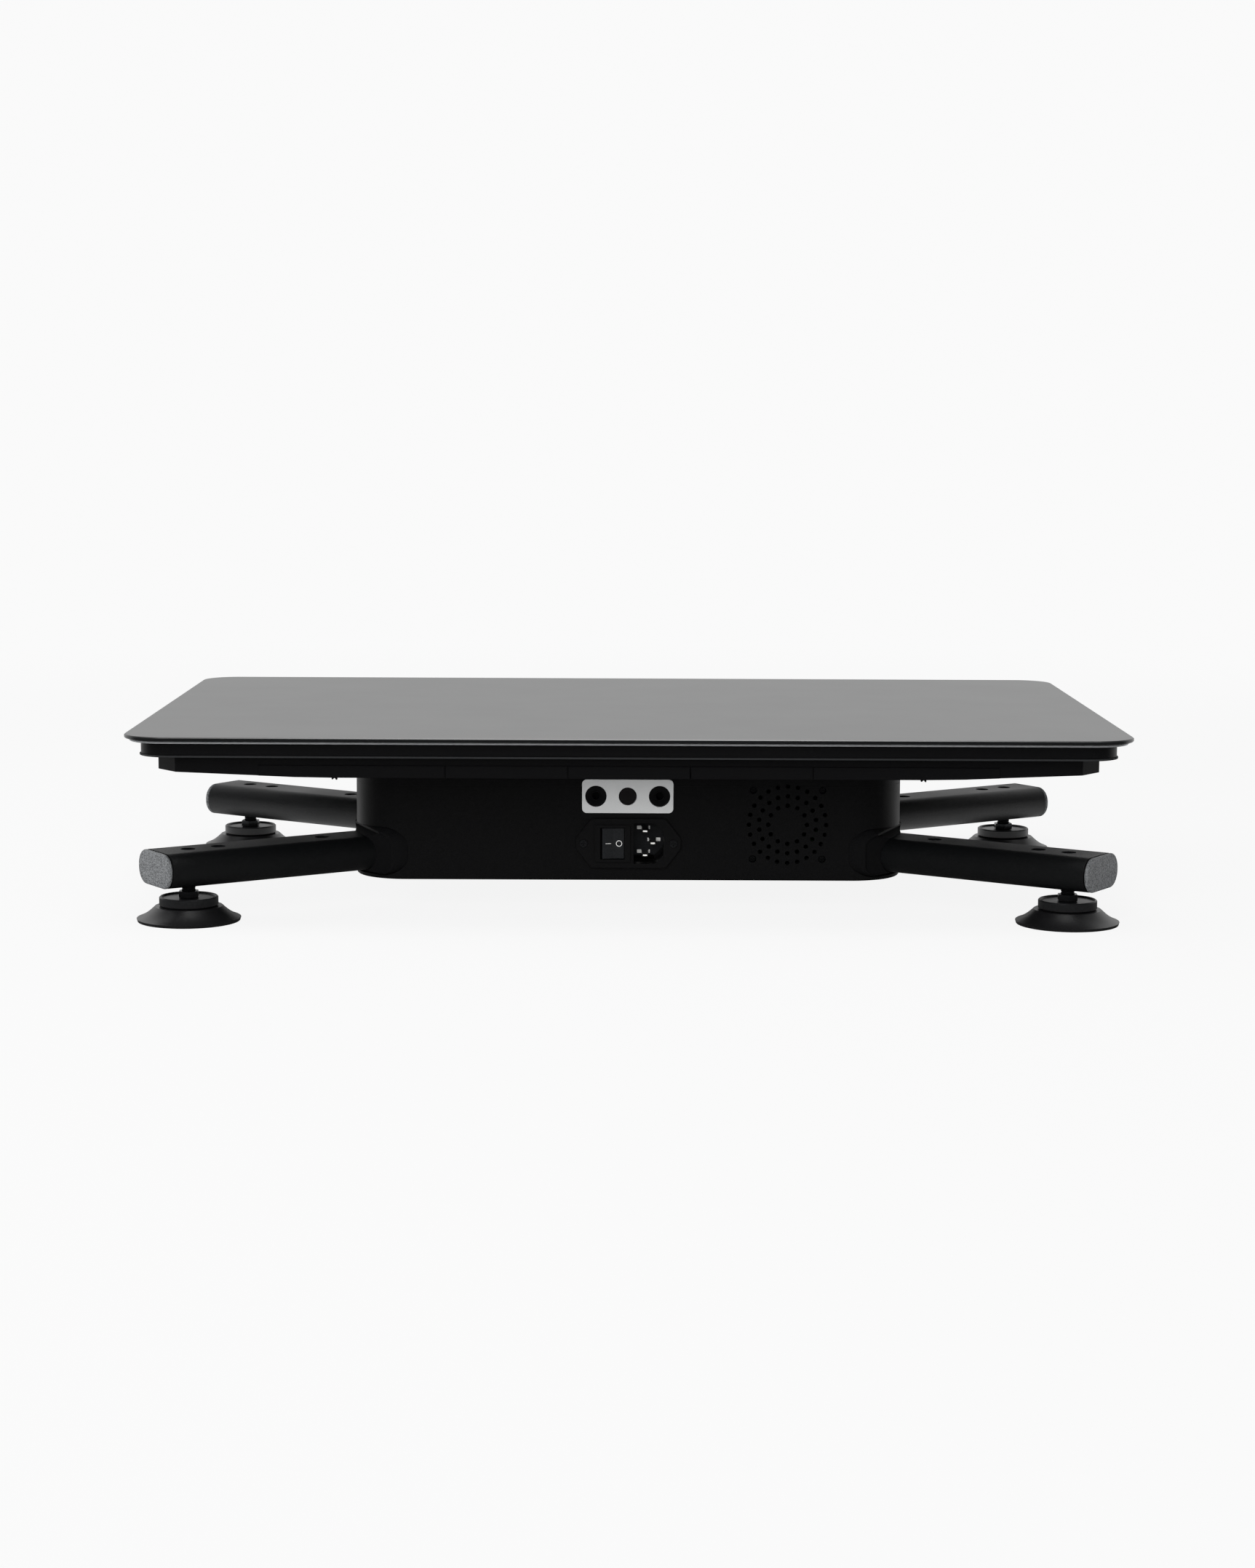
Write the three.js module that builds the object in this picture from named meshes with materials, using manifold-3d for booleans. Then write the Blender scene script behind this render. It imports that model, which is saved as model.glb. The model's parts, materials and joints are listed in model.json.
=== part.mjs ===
// A whole-body vibration plate: a glass-topped deck that rocks on a shaft over a low housing
// with four splayed legs on suction feet. Millimetres, +Z up, +X along the deck's length.
// The origin is on the floor under the middle of the deck, and the sockets face -Y.
import * as THREE from "three";
import { mergeVertices } from "three/addons/utils/BufferGeometryUtils.js";
import Module from "manifold-3d";

const wasm = await Module();
wasm.setup();

// Fits
const CLEAR = 0.3; // gap between pieces that are fastened to each other
const RUN = 0.15; // running gap round a shaft
const OVERRUN = 2; // how far a cutter passes the face that it cuts

// Deck, from the glass down
const DECK_WIDTH = 560;
const DECK_DEPTH = 355;
const DECK_TOP = 108;
const DECK_CORNER = 22;
const GLASS_THICK = 2.2;
const GLASS_BEVEL = 0.6;
const TRIM_HEIGHT = 1.4;
const TRIM_INSET = 2.6;
const UPPER_PAN_INSET = 7.8;
const UPPER_PAN_HEIGHT = 7.9;
const UPPER_LIP_HEIGHT = 1.3;
const UPPER_LIP_OUT = 0.7;
const LOWER_PAN_INSET = 17.5;
const LOWER_PAN_CHAMFER = 11;
const LOWER_PAN_END_HEIGHT = 8.4;
const BELLY_DROP = 3; // how far the underside falls from the pan's ends to its shoulders
const BELLY_SAG = 0.3; // and from the shoulders to its flat middle
const BELLY_SHOULDER_X = 186;
const BELLY_FLAT_X = 165;
const BAND_X = 206; // half length of the proud band along the lower pan's long sides
const BAND_DROP = 4.8; // from the lower pan's top edge to the band's
const BAND_OUT = 0.6;
const SEAM_WIDTH = 0.8;
const SEAM_PITCH = 68;
const SEAM_COUNT = 4;

// Steel frame in the deck, and what hangs from it
const FRAME_WIDTH = 240;
const FRAME_DEPTH = 160;
const FRAME_THICK = 3.4;
const EAR_WIDTH = 40;
const EAR_THICK = 8;
const EAR_Y = 38;
const EAR_EYE_RADIUS = 14;
const PIVOT_Z = 58;
const PIVOT_RADIUS = 8;
const DRIVE_X = 56; // the drive pin's distance from the pivot shaft
const DRIVE_PIN_Z = 70;
const DRIVE_PIN_RADIUS = 4;
const DRIVE_EAR_THICK = 5;
const DRIVE_EAR_RADIUS = 8;
const DRIVE_EAR_GAP = 16;
const DRIVE_YOKE_WALL = 3;

// Housing and base plate
const HOUSING_WIDTH = 318;
const HOUSING_DEPTH = 200;
const HOUSING_CORNER = 30;
const HOUSING_WALL = 3;
const HOUSING_BOTTOM = 17;
const HOUSING_TOP = 78;
const HOUSING_BEVEL = 1.5;
const GROOVE_Z = 71.8;
const GROOVE_WIDTH = 0.8;
const GROOVE_DEPTH = 0.4;
const PLATE_THICK = 3.2;
const EAR_SLOT_MARGIN = 3; // room round the deck's ears where they pass the housing's top
const YOKE_SLOT_MARGIN = 5;

// Legs: flat-oval tubes through the housing's corners, and their end caps and grommets
const FOOT_X = 248;
const FOOT_Y = 140;
const LEG_SPLAY = 33.9; // degrees between a leg and the deck's length
const LEG_WIDTH = 40.4;
const LEG_HEIGHT = 19.6;
const LEG_CORNER = 9.2;
const LEG_WALL = 2;
const LEG_Z = 30.8;
const LEG_INWARD = 133.8; // from the middle of the foot to the leg's inner end
const LEG_OUTWARD = 18.5; // and to the end that its cap closes
const CAP_THICK = 2.5;
const CAP_PLUG = 12;
const LEG_HOLE_RADIUS = 4.2;
const LEG_HOLE_NEAR = 18.8; // two spare holes, inward from the foot
const LEG_HOLE_FAR = 85;
const GROMMET_SIDE = 13.7; // how far the grommet reaches past the leg's sides, its top and its underside
const GROMMET_ROOF = 6.3;
const GROMMET_SILL = 1.5;
const GROMMET_CORNER = 10;
const GROMMET_OUT = 2.8;
const GROMMET_IN = 2;

// Feet: threaded stud, disc and suction cup
const CUP_RADIUS = 29.3;
const CUP_RIM = 1.6;
const CUP_LEDGE_RADIUS = 19;
const CUP_LEDGE_Z = 8.3;
const CUP_HOLLOW = 2.6;
const CUP_LIP = 3.5;
const CUP_SOCKET_RADIUS = 12;
const CUP_SOCKET_DEPTH = 3;
const DISC_RADIUS = 16.6;
const DISC_TOP = 12.9; // where the hexagon seats, inside the raised rim
const DISC_RIM_HEIGHT = 1;
const DISC_RIM_WALL = 1.8;
const HEX_FLATS = 10.7;
const HEX_TOP = 16.9;
const STUD_RADIUS = 4;
const STUD_TOP = 37;
const STUD_SEAT = 2;

// Inlet module: flange, rocker switch and mains well
const INLET_Z = 38.8;
const INLET_END_X = 31.8;
const INLET_END_HALF = 4.2;
const INLET_TOP_X = 21;
const INLET_HALF_HEIGHT = 14.4;
const FLANGE_THICK = 1.6;
const INLET_BODY_X = 21.4;
const INLET_BODY_HALF = 12.6;
const INLET_BODY_DEPTH = 24;
const SCREW_X = 25.9;
const SCREW_HEAD_RADIUS = 2.35;
const SCREW_HEAD_HEIGHT = 0.9;
const SCREW_SHANK_RADIUS = 1.3;
const SCREW_LENGTH = 6;
const SCREW_CROSS_WIDTH = 0.7;
const SCREW_CROSS_DEPTH = 0.5;
const WELL_LEFT = 3;
const WELL_RIGHT = 20.2;
const WELL_HALF_HEIGHT = 11.9;
const WELL_CHAMFER = 5;
const WELL_DEPTH = 17.5;
const PIN_WIDTH = 4;
const PIN_THICK = 2;
const PIN_LENGTH = 16;
const PIN_TIP = 0.6;
const PIN_TAIL = 5;
const LINE_PIN_X = 9.6;
const LINE_PIN_PITCH = 14;
const EARTH_PIN_X = 14.1;
const ROCKER_X = -9.2;
const ROCKER_WIDTH = 12.7;
const ROCKER_HEIGHT = 17.8;
const ROCKER_PROUD = 4; // from the pivot to the raised ends
const ROCKER_DISH = 2.9; // from the pivot to the middle of the dished face
const ROCKER_BACK = 5;
const ROCKER_THROW = 14; // degrees from O to I
const ROCKER_PIVOT_DEPTH = 3.2;
const ROCKER_RIM_WALL = 4;
const ROCKER_RIM_HEIGHT = 1;
const ROCKER_CAVITY_DEPTH = 12;
const ROCKER_SIDE_GAP = 0.65;

// Socket panel
const PANEL_X = -0.5;
const PANEL_Z = 66.2;
const PANEL_WIDTH = 52.6;
const PANEL_HEIGHT = 19.6;
const PANEL_CORNER = 2.8;
const PANEL_PROUD = 1.2;
const PANEL_LEDGE = 2.4; // how far the panel's face overlaps the cut-out behind it
const PANEL_BLOCK = 7;
const SOCKET_PITCH = 18.3;
const SOCKET_RADIUS = 5.85;
const SOCKET_RECESS = 0.7;
const SOCKET_LENGTH = 11;
const SOCKET_RING_RADIUS = 2.8;
const SOCKET_RING_DEPTH = 8;
const WINDOW_RADIUS = 4.9;
const WINDOW_RECESS = 0.4;
const WINDOW_LENGTH = 6;

// Cooling fan and its grille
const FAN_X = 91.7;
const FAN_Z = 49.8;
const FAN_SIZE = 50;
const FAN_THICK = 20;
const FAN_BORE_RADIUS = 23.4;
const FAN_HOLE_PITCH = 40;
const FAN_HOLE_RADIUS = 2.15;
const FAN_HUB_RADIUS = 10;
const FAN_TIP_RADIUS = 22.4;
const FAN_BLADES = 7;
const FAN_CHORD = 11;
const FAN_BLADE_THICK = 1.2;
const FAN_PITCH = 40; // degrees
const FAN_SPIDER_THICK = 3;
const FAN_ARM_WIDTH = 4;
const FAN_SHAFT_RADIUS = 1.5;
const GRILLE_HOLE_RADIUS = 1.5;
const GRILLE_OUTER_RADIUS = 22.3;
const GRILLE_MIDDLE_RADIUS = 16.6;
const GRILLE_INNER_RADIUS = 11.1;
const GRILLE_RINGS = [
  { radius: GRILLE_OUTER_RADIUS, count: 24, turnShare: 0 },
  { radius: GRILLE_MIDDLE_RADIUS, count: 18, turnShare: 0.5 },
  { radius: GRILLE_INNER_RADIUS, count: 12, turnShare: 0 },
];

// Drive: pillow blocks, eccentric shaft, connecting rod, motor, pulleys and belt
const DRIVE_Z = 45;
const ECCENTRIC = 1.6;
const ECCENTRIC_RADIUS = 13;
const ECCENTRIC_THICK = 14;
const CRANK_RADIUS = 6;
const CRANK_FRONT_Y = -44;
const CRANK_BEARING_FRONT_Y = -32;
const CRANK_BEARING_BACK_Y = 34;
const BEARING_THICK = 14;
const CRANK_BEARING_WIDTH = 36;
const CRANK_BEARING_RADIUS = 14;
const PIVOT_BEARING_Y = 55;
const PIVOT_BEARING_WIDTH = 44;
const PIVOT_BEARING_RADIUS = 15;
const ROD_THICK = 12;
const ROD_RING_WALL = 5;
const ROD_EYE_WALL = 3.4;
const ROCK_HALF_ANGLE = 1.8; // degrees each way
const BELT_Y = 78;
const BELT_WIDTH = 8;
const BELT_THICK = 2;
const PULLEY_FLANGE = 1.6;
const PULLEY_FLANGE_OUT = 3;
const CRANK_PULLEY_RADIUS = 20;
const MOTOR_PULLEY_RADIUS = 8;
const MOTOR_X = -75;
const MOTOR_RADIUS = 24;
const MOTOR_FRONT_Y = -50;
const MOTOR_BACK_Y = 52;
const MOTOR_FOOT_WIDTH = 46;
const MOTOR_FOOT_HEIGHT = 12;
const MOTOR_FOOT_INSET = 8;
const MOTOR_SHAFT_RADIUS = 4;
const MOTOR_SHAFT_IN = 20;

// Control board
const BOARD_X = 112;
const BOARD_Y = -4;
const BOARD_WIDTH = 50;
const BOARD_DEPTH = 72;
const BOARD_THICK = 1.6;
const BOARD_LIFT = 5;
const BOARD_POST_RADIUS = 2.5;
const BOARD_POST_INSET = 4;
const COIL_SIZE = 18;
const COIL_HEIGHT = 14;
const COIL_INSET = 9; // from the board's front edge
const CAPACITOR_RADIUS = 6;
const CAPACITOR_HEIGHT = 15;
const CAPACITOR_INSET = 12; // from the board's left edge
const CAPACITOR_PITCH = 18;
const SINK_THICK = 5;
const SINK_INSET = 10;
const SINK_LENGTH = 42;
const SINK_HEIGHT = 13;

// Facets: steps per quarter turn on shapes, and sides on round pieces
const CORNER_STEPS = 2;
const FINE_STEPS = 3;
const ROUND_SIDES = 24;
const SHAFT_SIDES = 16;
const SMALL_SIDES = 8;
const HEX_SIDES = 6;

// Levels and places that follow from the sizes above
const GLASS_BOTTOM = DECK_TOP - GLASS_THICK;
const TRIM_TOP = GLASS_BOTTOM - CLEAR;
const TRIM_BOTTOM = TRIM_TOP - TRIM_HEIGHT;
const UPPER_PAN_TOP = TRIM_BOTTOM - CLEAR;
const UPPER_PAN_BOTTOM = UPPER_PAN_TOP - UPPER_PAN_HEIGHT;
const LOWER_PAN_TOP = UPPER_PAN_BOTTOM - CLEAR;
const LOWER_PAN_END_Z = LOWER_PAN_TOP - LOWER_PAN_END_HEIGHT;
const SHOULDER_Z = LOWER_PAN_END_Z - BELLY_DROP;
const BELLY_Z = SHOULDER_Z - BELLY_SAG;
const FRAME_TOP = LOWER_PAN_TOP - CLEAR;
const FRAME_BOTTOM = FRAME_TOP - FRAME_THICK;
const HANGER_TOP = FRAME_BOTTOM - CLEAR;
const PLATE_TOP = HOUSING_BOTTOM + PLATE_THICK;
const FLOOR = PLATE_TOP + CLEAR; // where the pieces inside stand
const CEILING = HOUSING_TOP - HOUSING_WALL;
const FACE_Y = -HOUSING_DEPTH / 2; // the housing's front face
const LEG_ANGLE = THREE.MathUtils.degToRad(LEG_SPLAY);
const LEG_TOP = LEG_Z + LEG_HEIGHT / 2;
const LEG_BOTTOM = LEG_Z - LEG_HEIGHT / 2;
const CRANK_X = DRIVE_X - ECCENTRIC;
const YOKE_HALF = DRIVE_EAR_GAP / 2 + DRIVE_EAR_THICK;
const BACK_END_Y = BELT_Y + BELT_WIDTH / 2 + PULLEY_FLANGE;

const COLOURS = {
  glass: [0x0b0c0d, 0.06, 0],
  trim: [0xa9acae, 0.35, 1],
  pan: [0x121213, 0.45, 0],
  housing: [0x17181a, 0.6, 0],
  powderCoat: [0x141516, 0.5, 0.1],
  cap: [0x2a2b2c, 0.55, 0],
  rubber: [0x1b1c1d, 0.75, 0],
  footPlastic: [0x1e1f20, 0.5, 0],
  steel: [0x8d9092, 0.35, 1],
  nickel: [0xd8d6d0, 0.25, 1],
  blackScrew: [0x2c2d2e, 0.4, 0.6],
  panelWhite: [0xd9dad9, 0.5, 0],
  inletPlastic: [0x141415, 0.4, 0],
  rockerPlastic: [0x242527, 0.35, 0],
  socketPlastic: [0x0e0e0f, 0.4, 0],
  windowTint: [0x141010, 0.15, 0],
  fanPlastic: [0x202122, 0.5, 0],
  motorSteel: [0x55585b, 0.45, 0.8],
  castIron: [0x3b3d3f, 0.6, 0.6],
  belt: [0x161616, 0.8, 0],
  board: [0x1d5a34, 0.5, 0],
};

const product = new THREE.Group();

function finish(name) {
  const [color, roughness, metalness] = COLOURS[name];
  return new THREE.MeshStandardMaterial({ color, roughness, metalness });
}

// Turns a three.js geometry into a closed solid for cutting and joining.
function solid(geometry) {
  const bare = geometry.index ? geometry.toNonIndexed() : geometry.clone();
  bare.deleteAttribute("normal");
  bare.deleteAttribute("uv");
  const merged = mergeVertices(bare);
  return new wasm.Manifold(new wasm.Mesh({
    numProp: 3,
    vertProperties: new Float32Array(merged.attributes.position.array),
    triVerts: new Uint32Array(merged.index.array),
  }));
}

// Adds one named piece to the product, from a solid or a geometry.
function piece(name, shape, finishName, parent = product) {
  let geometry = shape;
  if (!shape.isBufferGeometry) {
    const data = shape.getMesh();
    geometry = new THREE.BufferGeometry();
    geometry.setAttribute("position", new THREE.BufferAttribute(data.vertProperties, 3));
    geometry.setIndex(new THREE.BufferAttribute(data.triVerts, 1));
    geometry.computeVertexNormals();
  }
  const mesh = new THREE.Mesh(geometry, finish(finishName));
  mesh.name = name;
  parent.add(mesh);
  return mesh;
}

// A rectangle with round corners, centred on x, y.
function roundedRectangle(width, depth, corner, x = 0, y = 0) {
  const [w, d] = [width / 2 - corner, depth / 2 - corner];
  const shape = new THREE.Shape();
  shape.absarc(x + w, y + d, corner, 0, Math.PI / 2);
  shape.absarc(x - w, y + d, corner, Math.PI / 2, Math.PI);
  shape.absarc(x - w, y - d, corner, Math.PI, Math.PI * 1.5);
  shape.absarc(x + w, y - d, corner, Math.PI * 1.5, Math.PI * 2);
  return shape;
}

function outline(points) {
  return new THREE.Shape(points.map(([x, y]) => new THREE.Vector2(x, y)));
}

// A shape in plan, extruded upwards from low to high.
function upright(shape, low, high, steps = CORNER_STEPS) {
  const geometry = new THREE.ExtrudeGeometry(shape, {
    depth: high - low, bevelEnabled: false, curveSegments: steps,
  });
  return geometry.translate(0, 0, low);
}

// A shape drawn in X and Z, extruded along Y from front to back.
function through(shape, front, back, steps = CORNER_STEPS) {
  const geometry = new THREE.ExtrudeGeometry(shape, {
    depth: back - front, bevelEnabled: false, curveSegments: steps,
  });
  return geometry.rotateX(Math.PI / 2).translate(0, back, 0);
}

// A shape drawn in Y and Z, extruded along X from start to end.
function lengthwise(shape, start, end, steps = CORNER_STEPS) {
  const geometry = new THREE.ExtrudeGeometry(shape, {
    depth: end - start, bevelEnabled: false, curveSegments: steps,
  });
  return geometry.rotateX(Math.PI / 2).rotateZ(Math.PI / 2).translate(start, 0, 0);
}

function block(x0, x1, y0, y1, z0, z1) {
  const geometry = new THREE.BoxGeometry(x1 - x0, y1 - y0, z1 - z0);
  return geometry.translate((x0 + x1) / 2, (y0 + y1) / 2, (z0 + z1) / 2);
}

// A round bar along Y, or along Z.
function barY(radius, x, z, front, back, sides = SHAFT_SIDES) {
  const geometry = new THREE.CylinderGeometry(radius, radius, back - front, sides);
  return geometry.translate(x, (front + back) / 2, z);
}

function barZ(radius, x, y, low, high, sides = SHAFT_SIDES) {
  const geometry = new THREE.CylinderGeometry(radius, radius, high - low, sides);
  return geometry.rotateX(Math.PI / 2).translate(x, y, (low + high) / 2);
}

// The corner radius of a faceted hole whose flats clear a round bar.
function holeRadius(radius, gap, sides = SHAFT_SIDES) {
  return (radius + gap) / Math.cos(Math.PI / sides);
}

// A plan shape like a rectangle with its four corners cut off at 45 degrees.
function chamferedRectangle(halfX, halfY, chamfer) {
  return outline([
    [halfX, halfY - chamfer], [halfX - chamfer, halfY],
    [chamfer - halfX, halfY], [-halfX, halfY - chamfer],
    [-halfX, chamfer - halfY], [chamfer - halfX, -halfY],
    [halfX - chamfer, -halfY], [halfX, chamfer - halfY],
  ]);
}

function deckShape(inset, corner = DECK_CORNER - inset / 2) {
  return roundedRectangle(DECK_WIDTH - 2 * inset, DECK_DEPTH - 2 * inset, corner);
}

function housingShape(outward) {
  return roundedRectangle(HOUSING_WIDTH + 2 * outward, HOUSING_DEPTH + 2 * outward,
    HOUSING_CORNER + outward);
}

// The deck's skins: glass, trim, and the upper and lower pans

function deckGlass() {
  const shape = deckShape(GLASS_BEVEL);
  const geometry = new THREE.ExtrudeGeometry(shape, {
    depth: GLASS_THICK - 2 * GLASS_BEVEL,
    bevelThickness: GLASS_BEVEL,
    bevelSize: GLASS_BEVEL,
    bevelSegments: 2,
    curveSegments: FINE_STEPS,
  });
  geometry.translate(0, 0, GLASS_BOTTOM + GLASS_BEVEL);
  piece("deck_glass", geometry, "glass");
}

function deckTrim() {
  piece("deck_edge_trim", upright(deckShape(TRIM_INSET), TRIM_BOTTOM, TRIM_TOP, FINE_STEPS), "trim");
}

function upperPan() {
  const wall = solid(upright(deckShape(UPPER_PAN_INSET + UPPER_LIP_OUT), UPPER_PAN_BOTTOM, UPPER_PAN_TOP,
    FINE_STEPS));
  const lip = solid(upright(deckShape(UPPER_PAN_INSET), UPPER_PAN_BOTTOM,
    UPPER_PAN_BOTTOM + UPPER_LIP_HEIGHT, FINE_STEPS));
  piece("upper_pan", wall.add(lip), "pan");
}

function lowerPan() {
  const halfX = DECK_WIDTH / 2 - LOWER_PAN_INSET;
  const halfY = DECK_DEPTH / 2 - LOWER_PAN_INSET;
  const boat = outline([
    [-halfX, LOWER_PAN_TOP], [-halfX, LOWER_PAN_END_Z], [-BELLY_SHOULDER_X, SHOULDER_Z],
    [-BELLY_FLAT_X, BELLY_Z], [BELLY_FLAT_X, BELLY_Z], [BELLY_SHOULDER_X, SHOULDER_Z],
    [halfX, LOWER_PAN_END_Z], [halfX, LOWER_PAN_TOP],
  ]);
  const bandTop = LOWER_PAN_TOP - BAND_DROP;
  const plan = solid(upright(chamferedRectangle(halfX, halfY, LOWER_PAN_CHAMFER), BELLY_Z, LOWER_PAN_TOP));
  const bandPlan = solid(upright(chamferedRectangle(BAND_X, halfY + BAND_OUT, BAND_OUT), BELLY_Z, bandTop));
  let pan = plan.add(bandPlan).intersect(solid(through(boat, -DECK_DEPTH / 2, DECK_DEPTH / 2)));

  const seamFloor = halfY - BAND_OUT;
  for (let i = 0; i < SEAM_COUNT; i += 1) {
    const x = (i - (SEAM_COUNT - 1) / 2) * SEAM_PITCH;
    for (const [y0, y1] of [[-DECK_DEPTH / 2, -seamFloor], [seamFloor, DECK_DEPTH / 2]]) {
      pan = pan.subtract(solid(block(x - SEAM_WIDTH / 2, x + SEAM_WIDTH / 2, y0, y1,
        BELLY_Z - OVERRUN, bandTop + SEAM_WIDTH)));
    }
  }

  const [pocketX, pocketY] = [FRAME_WIDTH / 2 + CLEAR, FRAME_DEPTH / 2 + CLEAR];
  pan = pan.subtract(solid(block(-pocketX, pocketX, -pocketY, pocketY, FRAME_BOTTOM - CLEAR,
    LOWER_PAN_TOP + OVERRUN)));
  for (const y of [-EAR_Y, EAR_Y]) {
    pan = pan.subtract(solid(block(-EAR_WIDTH / 2 - CLEAR, EAR_WIDTH / 2 + CLEAR,
      y - EAR_THICK / 2 - CLEAR, y + EAR_THICK / 2 + CLEAR, BELLY_Z - OVERRUN, LOWER_PAN_TOP)));
  }
  const yokeX = EAR_EYE_RADIUS + CLEAR;
  pan = pan.subtract(solid(block(DRIVE_X - yokeX, DRIVE_X + yokeX, -YOKE_HALF - CLEAR, YOKE_HALF + CLEAR,
    BELLY_Z - OVERRUN, LOWER_PAN_TOP)));
  piece("lower_pan", pan, "pan");
}

// Steel in the deck: frame, two pivot ears, the shaft, and the yoke that the rod drives

function deckSteel() {
  piece("deck_frame", block(-FRAME_WIDTH / 2, FRAME_WIDTH / 2, -FRAME_DEPTH / 2, FRAME_DEPTH / 2,
    FRAME_BOTTOM, FRAME_TOP), "powderCoat");

  const ear = new THREE.Shape();
  ear.moveTo(EAR_WIDTH / 2, HANGER_TOP);
  ear.lineTo(-EAR_WIDTH / 2, HANGER_TOP);
  ear.lineTo(-EAR_WIDTH / 2, CEILING);
  ear.lineTo(-EAR_EYE_RADIUS, PIVOT_Z);
  ear.absarc(0, PIVOT_Z, EAR_EYE_RADIUS, Math.PI, Math.PI * 2);
  ear.lineTo(EAR_WIDTH / 2, CEILING);
  for (const [name, y] of [["pivot_ear_front", -EAR_Y], ["pivot_ear_back", EAR_Y]]) {
    const [y0, y1] = [y - EAR_THICK / 2, y + EAR_THICK / 2];
    const bore = barY(holeRadius(PIVOT_RADIUS, CLEAR), 0, PIVOT_Z, y0 - OVERRUN, y1 + OVERRUN);
    piece(name, solid(through(ear, y0, y1)).subtract(solid(bore)), "powderCoat");
  }
  const shaftEnd = PIVOT_BEARING_Y + BEARING_THICK / 2;
  piece("pivot_shaft", barY(PIVOT_RADIUS, 0, PIVOT_Z, -shaftEnd, shaftEnd), "steel");

  const yoke = new THREE.Shape();
  yoke.moveTo(DRIVE_X + EAR_EYE_RADIUS, HANGER_TOP);
  yoke.lineTo(DRIVE_X - EAR_EYE_RADIUS, HANGER_TOP);
  yoke.lineTo(DRIVE_X - EAR_EYE_RADIUS, BELLY_Z);
  yoke.lineTo(DRIVE_X - DRIVE_EAR_RADIUS, DRIVE_PIN_Z);
  yoke.absarc(DRIVE_X, DRIVE_PIN_Z, DRIVE_EAR_RADIUS, Math.PI, Math.PI * 2);
  yoke.lineTo(DRIVE_X + EAR_EYE_RADIUS, BELLY_Z);
  const gap = DRIVE_EAR_GAP / 2;
  const room = block(DRIVE_X - EAR_WIDTH, DRIVE_X + EAR_WIDTH, -gap, gap, 0, HANGER_TOP - DRIVE_YOKE_WALL);
  const pinHole = barY(holeRadius(DRIVE_PIN_RADIUS, CLEAR), DRIVE_X, DRIVE_PIN_Z,
    -YOKE_HALF - OVERRUN, YOKE_HALF + OVERRUN);
  const cut = solid(through(yoke, -YOKE_HALF, YOKE_HALF)).subtract(solid(room)).subtract(solid(pinHole));
  piece("drive_yoke", cut, "powderCoat");
  piece("drive_pin", barY(DRIVE_PIN_RADIUS, DRIVE_X, DRIVE_PIN_Z, -YOKE_HALF, YOKE_HALF), "steel");
}

// Legs: each lies along +X with the middle of its foot at 0, then goes to its corner

const CORNERS = [
  { tag: "front_left", x: -FOOT_X, y: -FOOT_Y, angle: Math.PI + LEG_ANGLE },
  { tag: "front_right", x: FOOT_X, y: -FOOT_Y, angle: -LEG_ANGLE },
  { tag: "back_left", x: -FOOT_X, y: FOOT_Y, angle: Math.PI - LEG_ANGLE },
  { tag: "back_right", x: FOOT_X, y: FOOT_Y, angle: LEG_ANGLE },
];

function cornerFrame({ x, y, angle }) {
  const frame = new THREE.Group();
  frame.rotation.z = angle;
  frame.position.set(x, y, 0);
  product.add(frame);
  return frame;
}

function legSection(grow) {
  return roundedRectangle(LEG_WIDTH + 2 * grow, LEG_HEIGHT + 2 * grow, LEG_CORNER + grow, 0, LEG_Z);
}

function leg() {
  let tube = solid(lengthwise(legSection(0), -LEG_INWARD, LEG_OUTWARD));
  tube = tube.subtract(solid(lengthwise(legSection(-LEG_WALL), -LEG_INWARD - OVERRUN, LEG_OUTWARD + OVERRUN)));
  const stud = holeRadius(STUD_RADIUS, RUN);
  tube = tube.subtract(solid(barZ(stud, 0, 0, LEG_BOTTOM - OVERRUN, LEG_Z)));
  for (const inward of [0, LEG_HOLE_NEAR, LEG_HOLE_FAR]) {
    tube = tube.subtract(solid(barZ(LEG_HOLE_RADIUS, -inward, 0, LEG_Z, LEG_TOP + OVERRUN)));
  }
  return tube;
}

function legCap() {
  const seat = LEG_OUTWARD + CLEAR;
  const plate = solid(lengthwise(legSection(0), seat, seat + CAP_THICK));
  const plug = lengthwise(legSection(-LEG_WALL - CLEAR), LEG_OUTWARD - CAP_PLUG, seat + CAP_THICK / 2);
  return plate.add(solid(plug));
}

// What crosses the housing's wall along a leg: the grommet, or with some clearance its hole.
function crossing(grow, corner) {
  const [low, high] = [LEG_BOTTOM - GROMMET_SILL - grow, LEG_TOP + GROMMET_ROOF + grow];
  const section = roundedRectangle(LEG_WIDTH + 2 * (GROMMET_SIDE + grow), high - low, GROMMET_CORNER + grow,
    0, (low + high) / 2);
  const bar = solid(lengthwise(section, -LEG_INWARD - LEG_WIDTH, LEG_OUTWARD));
  return bar.rotate([0, 0, THREE.MathUtils.radToDeg(corner.angle)]).translate([corner.x, corner.y, 0]);
}

function grommet(corner) {
  const room = solid(lengthwise(legSection(CLEAR), -LEG_INWARD - LEG_WIDTH - OVERRUN, LEG_OUTWARD + OVERRUN));
  const outer = solid(upright(housingShape(GROMMET_OUT), 0, HOUSING_TOP, FINE_STEPS));
  const inner = solid(upright(housingShape(-HOUSING_WALL - GROMMET_IN), -OVERRUN, HOUSING_TOP + OVERRUN,
    FINE_STEPS));
  const abovePlate = solid(upright(housingShape(-HOUSING_WALL), 0, FLOOR, FINE_STEPS));
  return crossing(0, corner)
    .subtract(room.rotate([0, 0, THREE.MathUtils.radToDeg(corner.angle)]).translate([corner.x, corner.y, 0]))
    .intersect(outer)
    .subtract(inner)
    .subtract(abovePlate);
}

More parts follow.
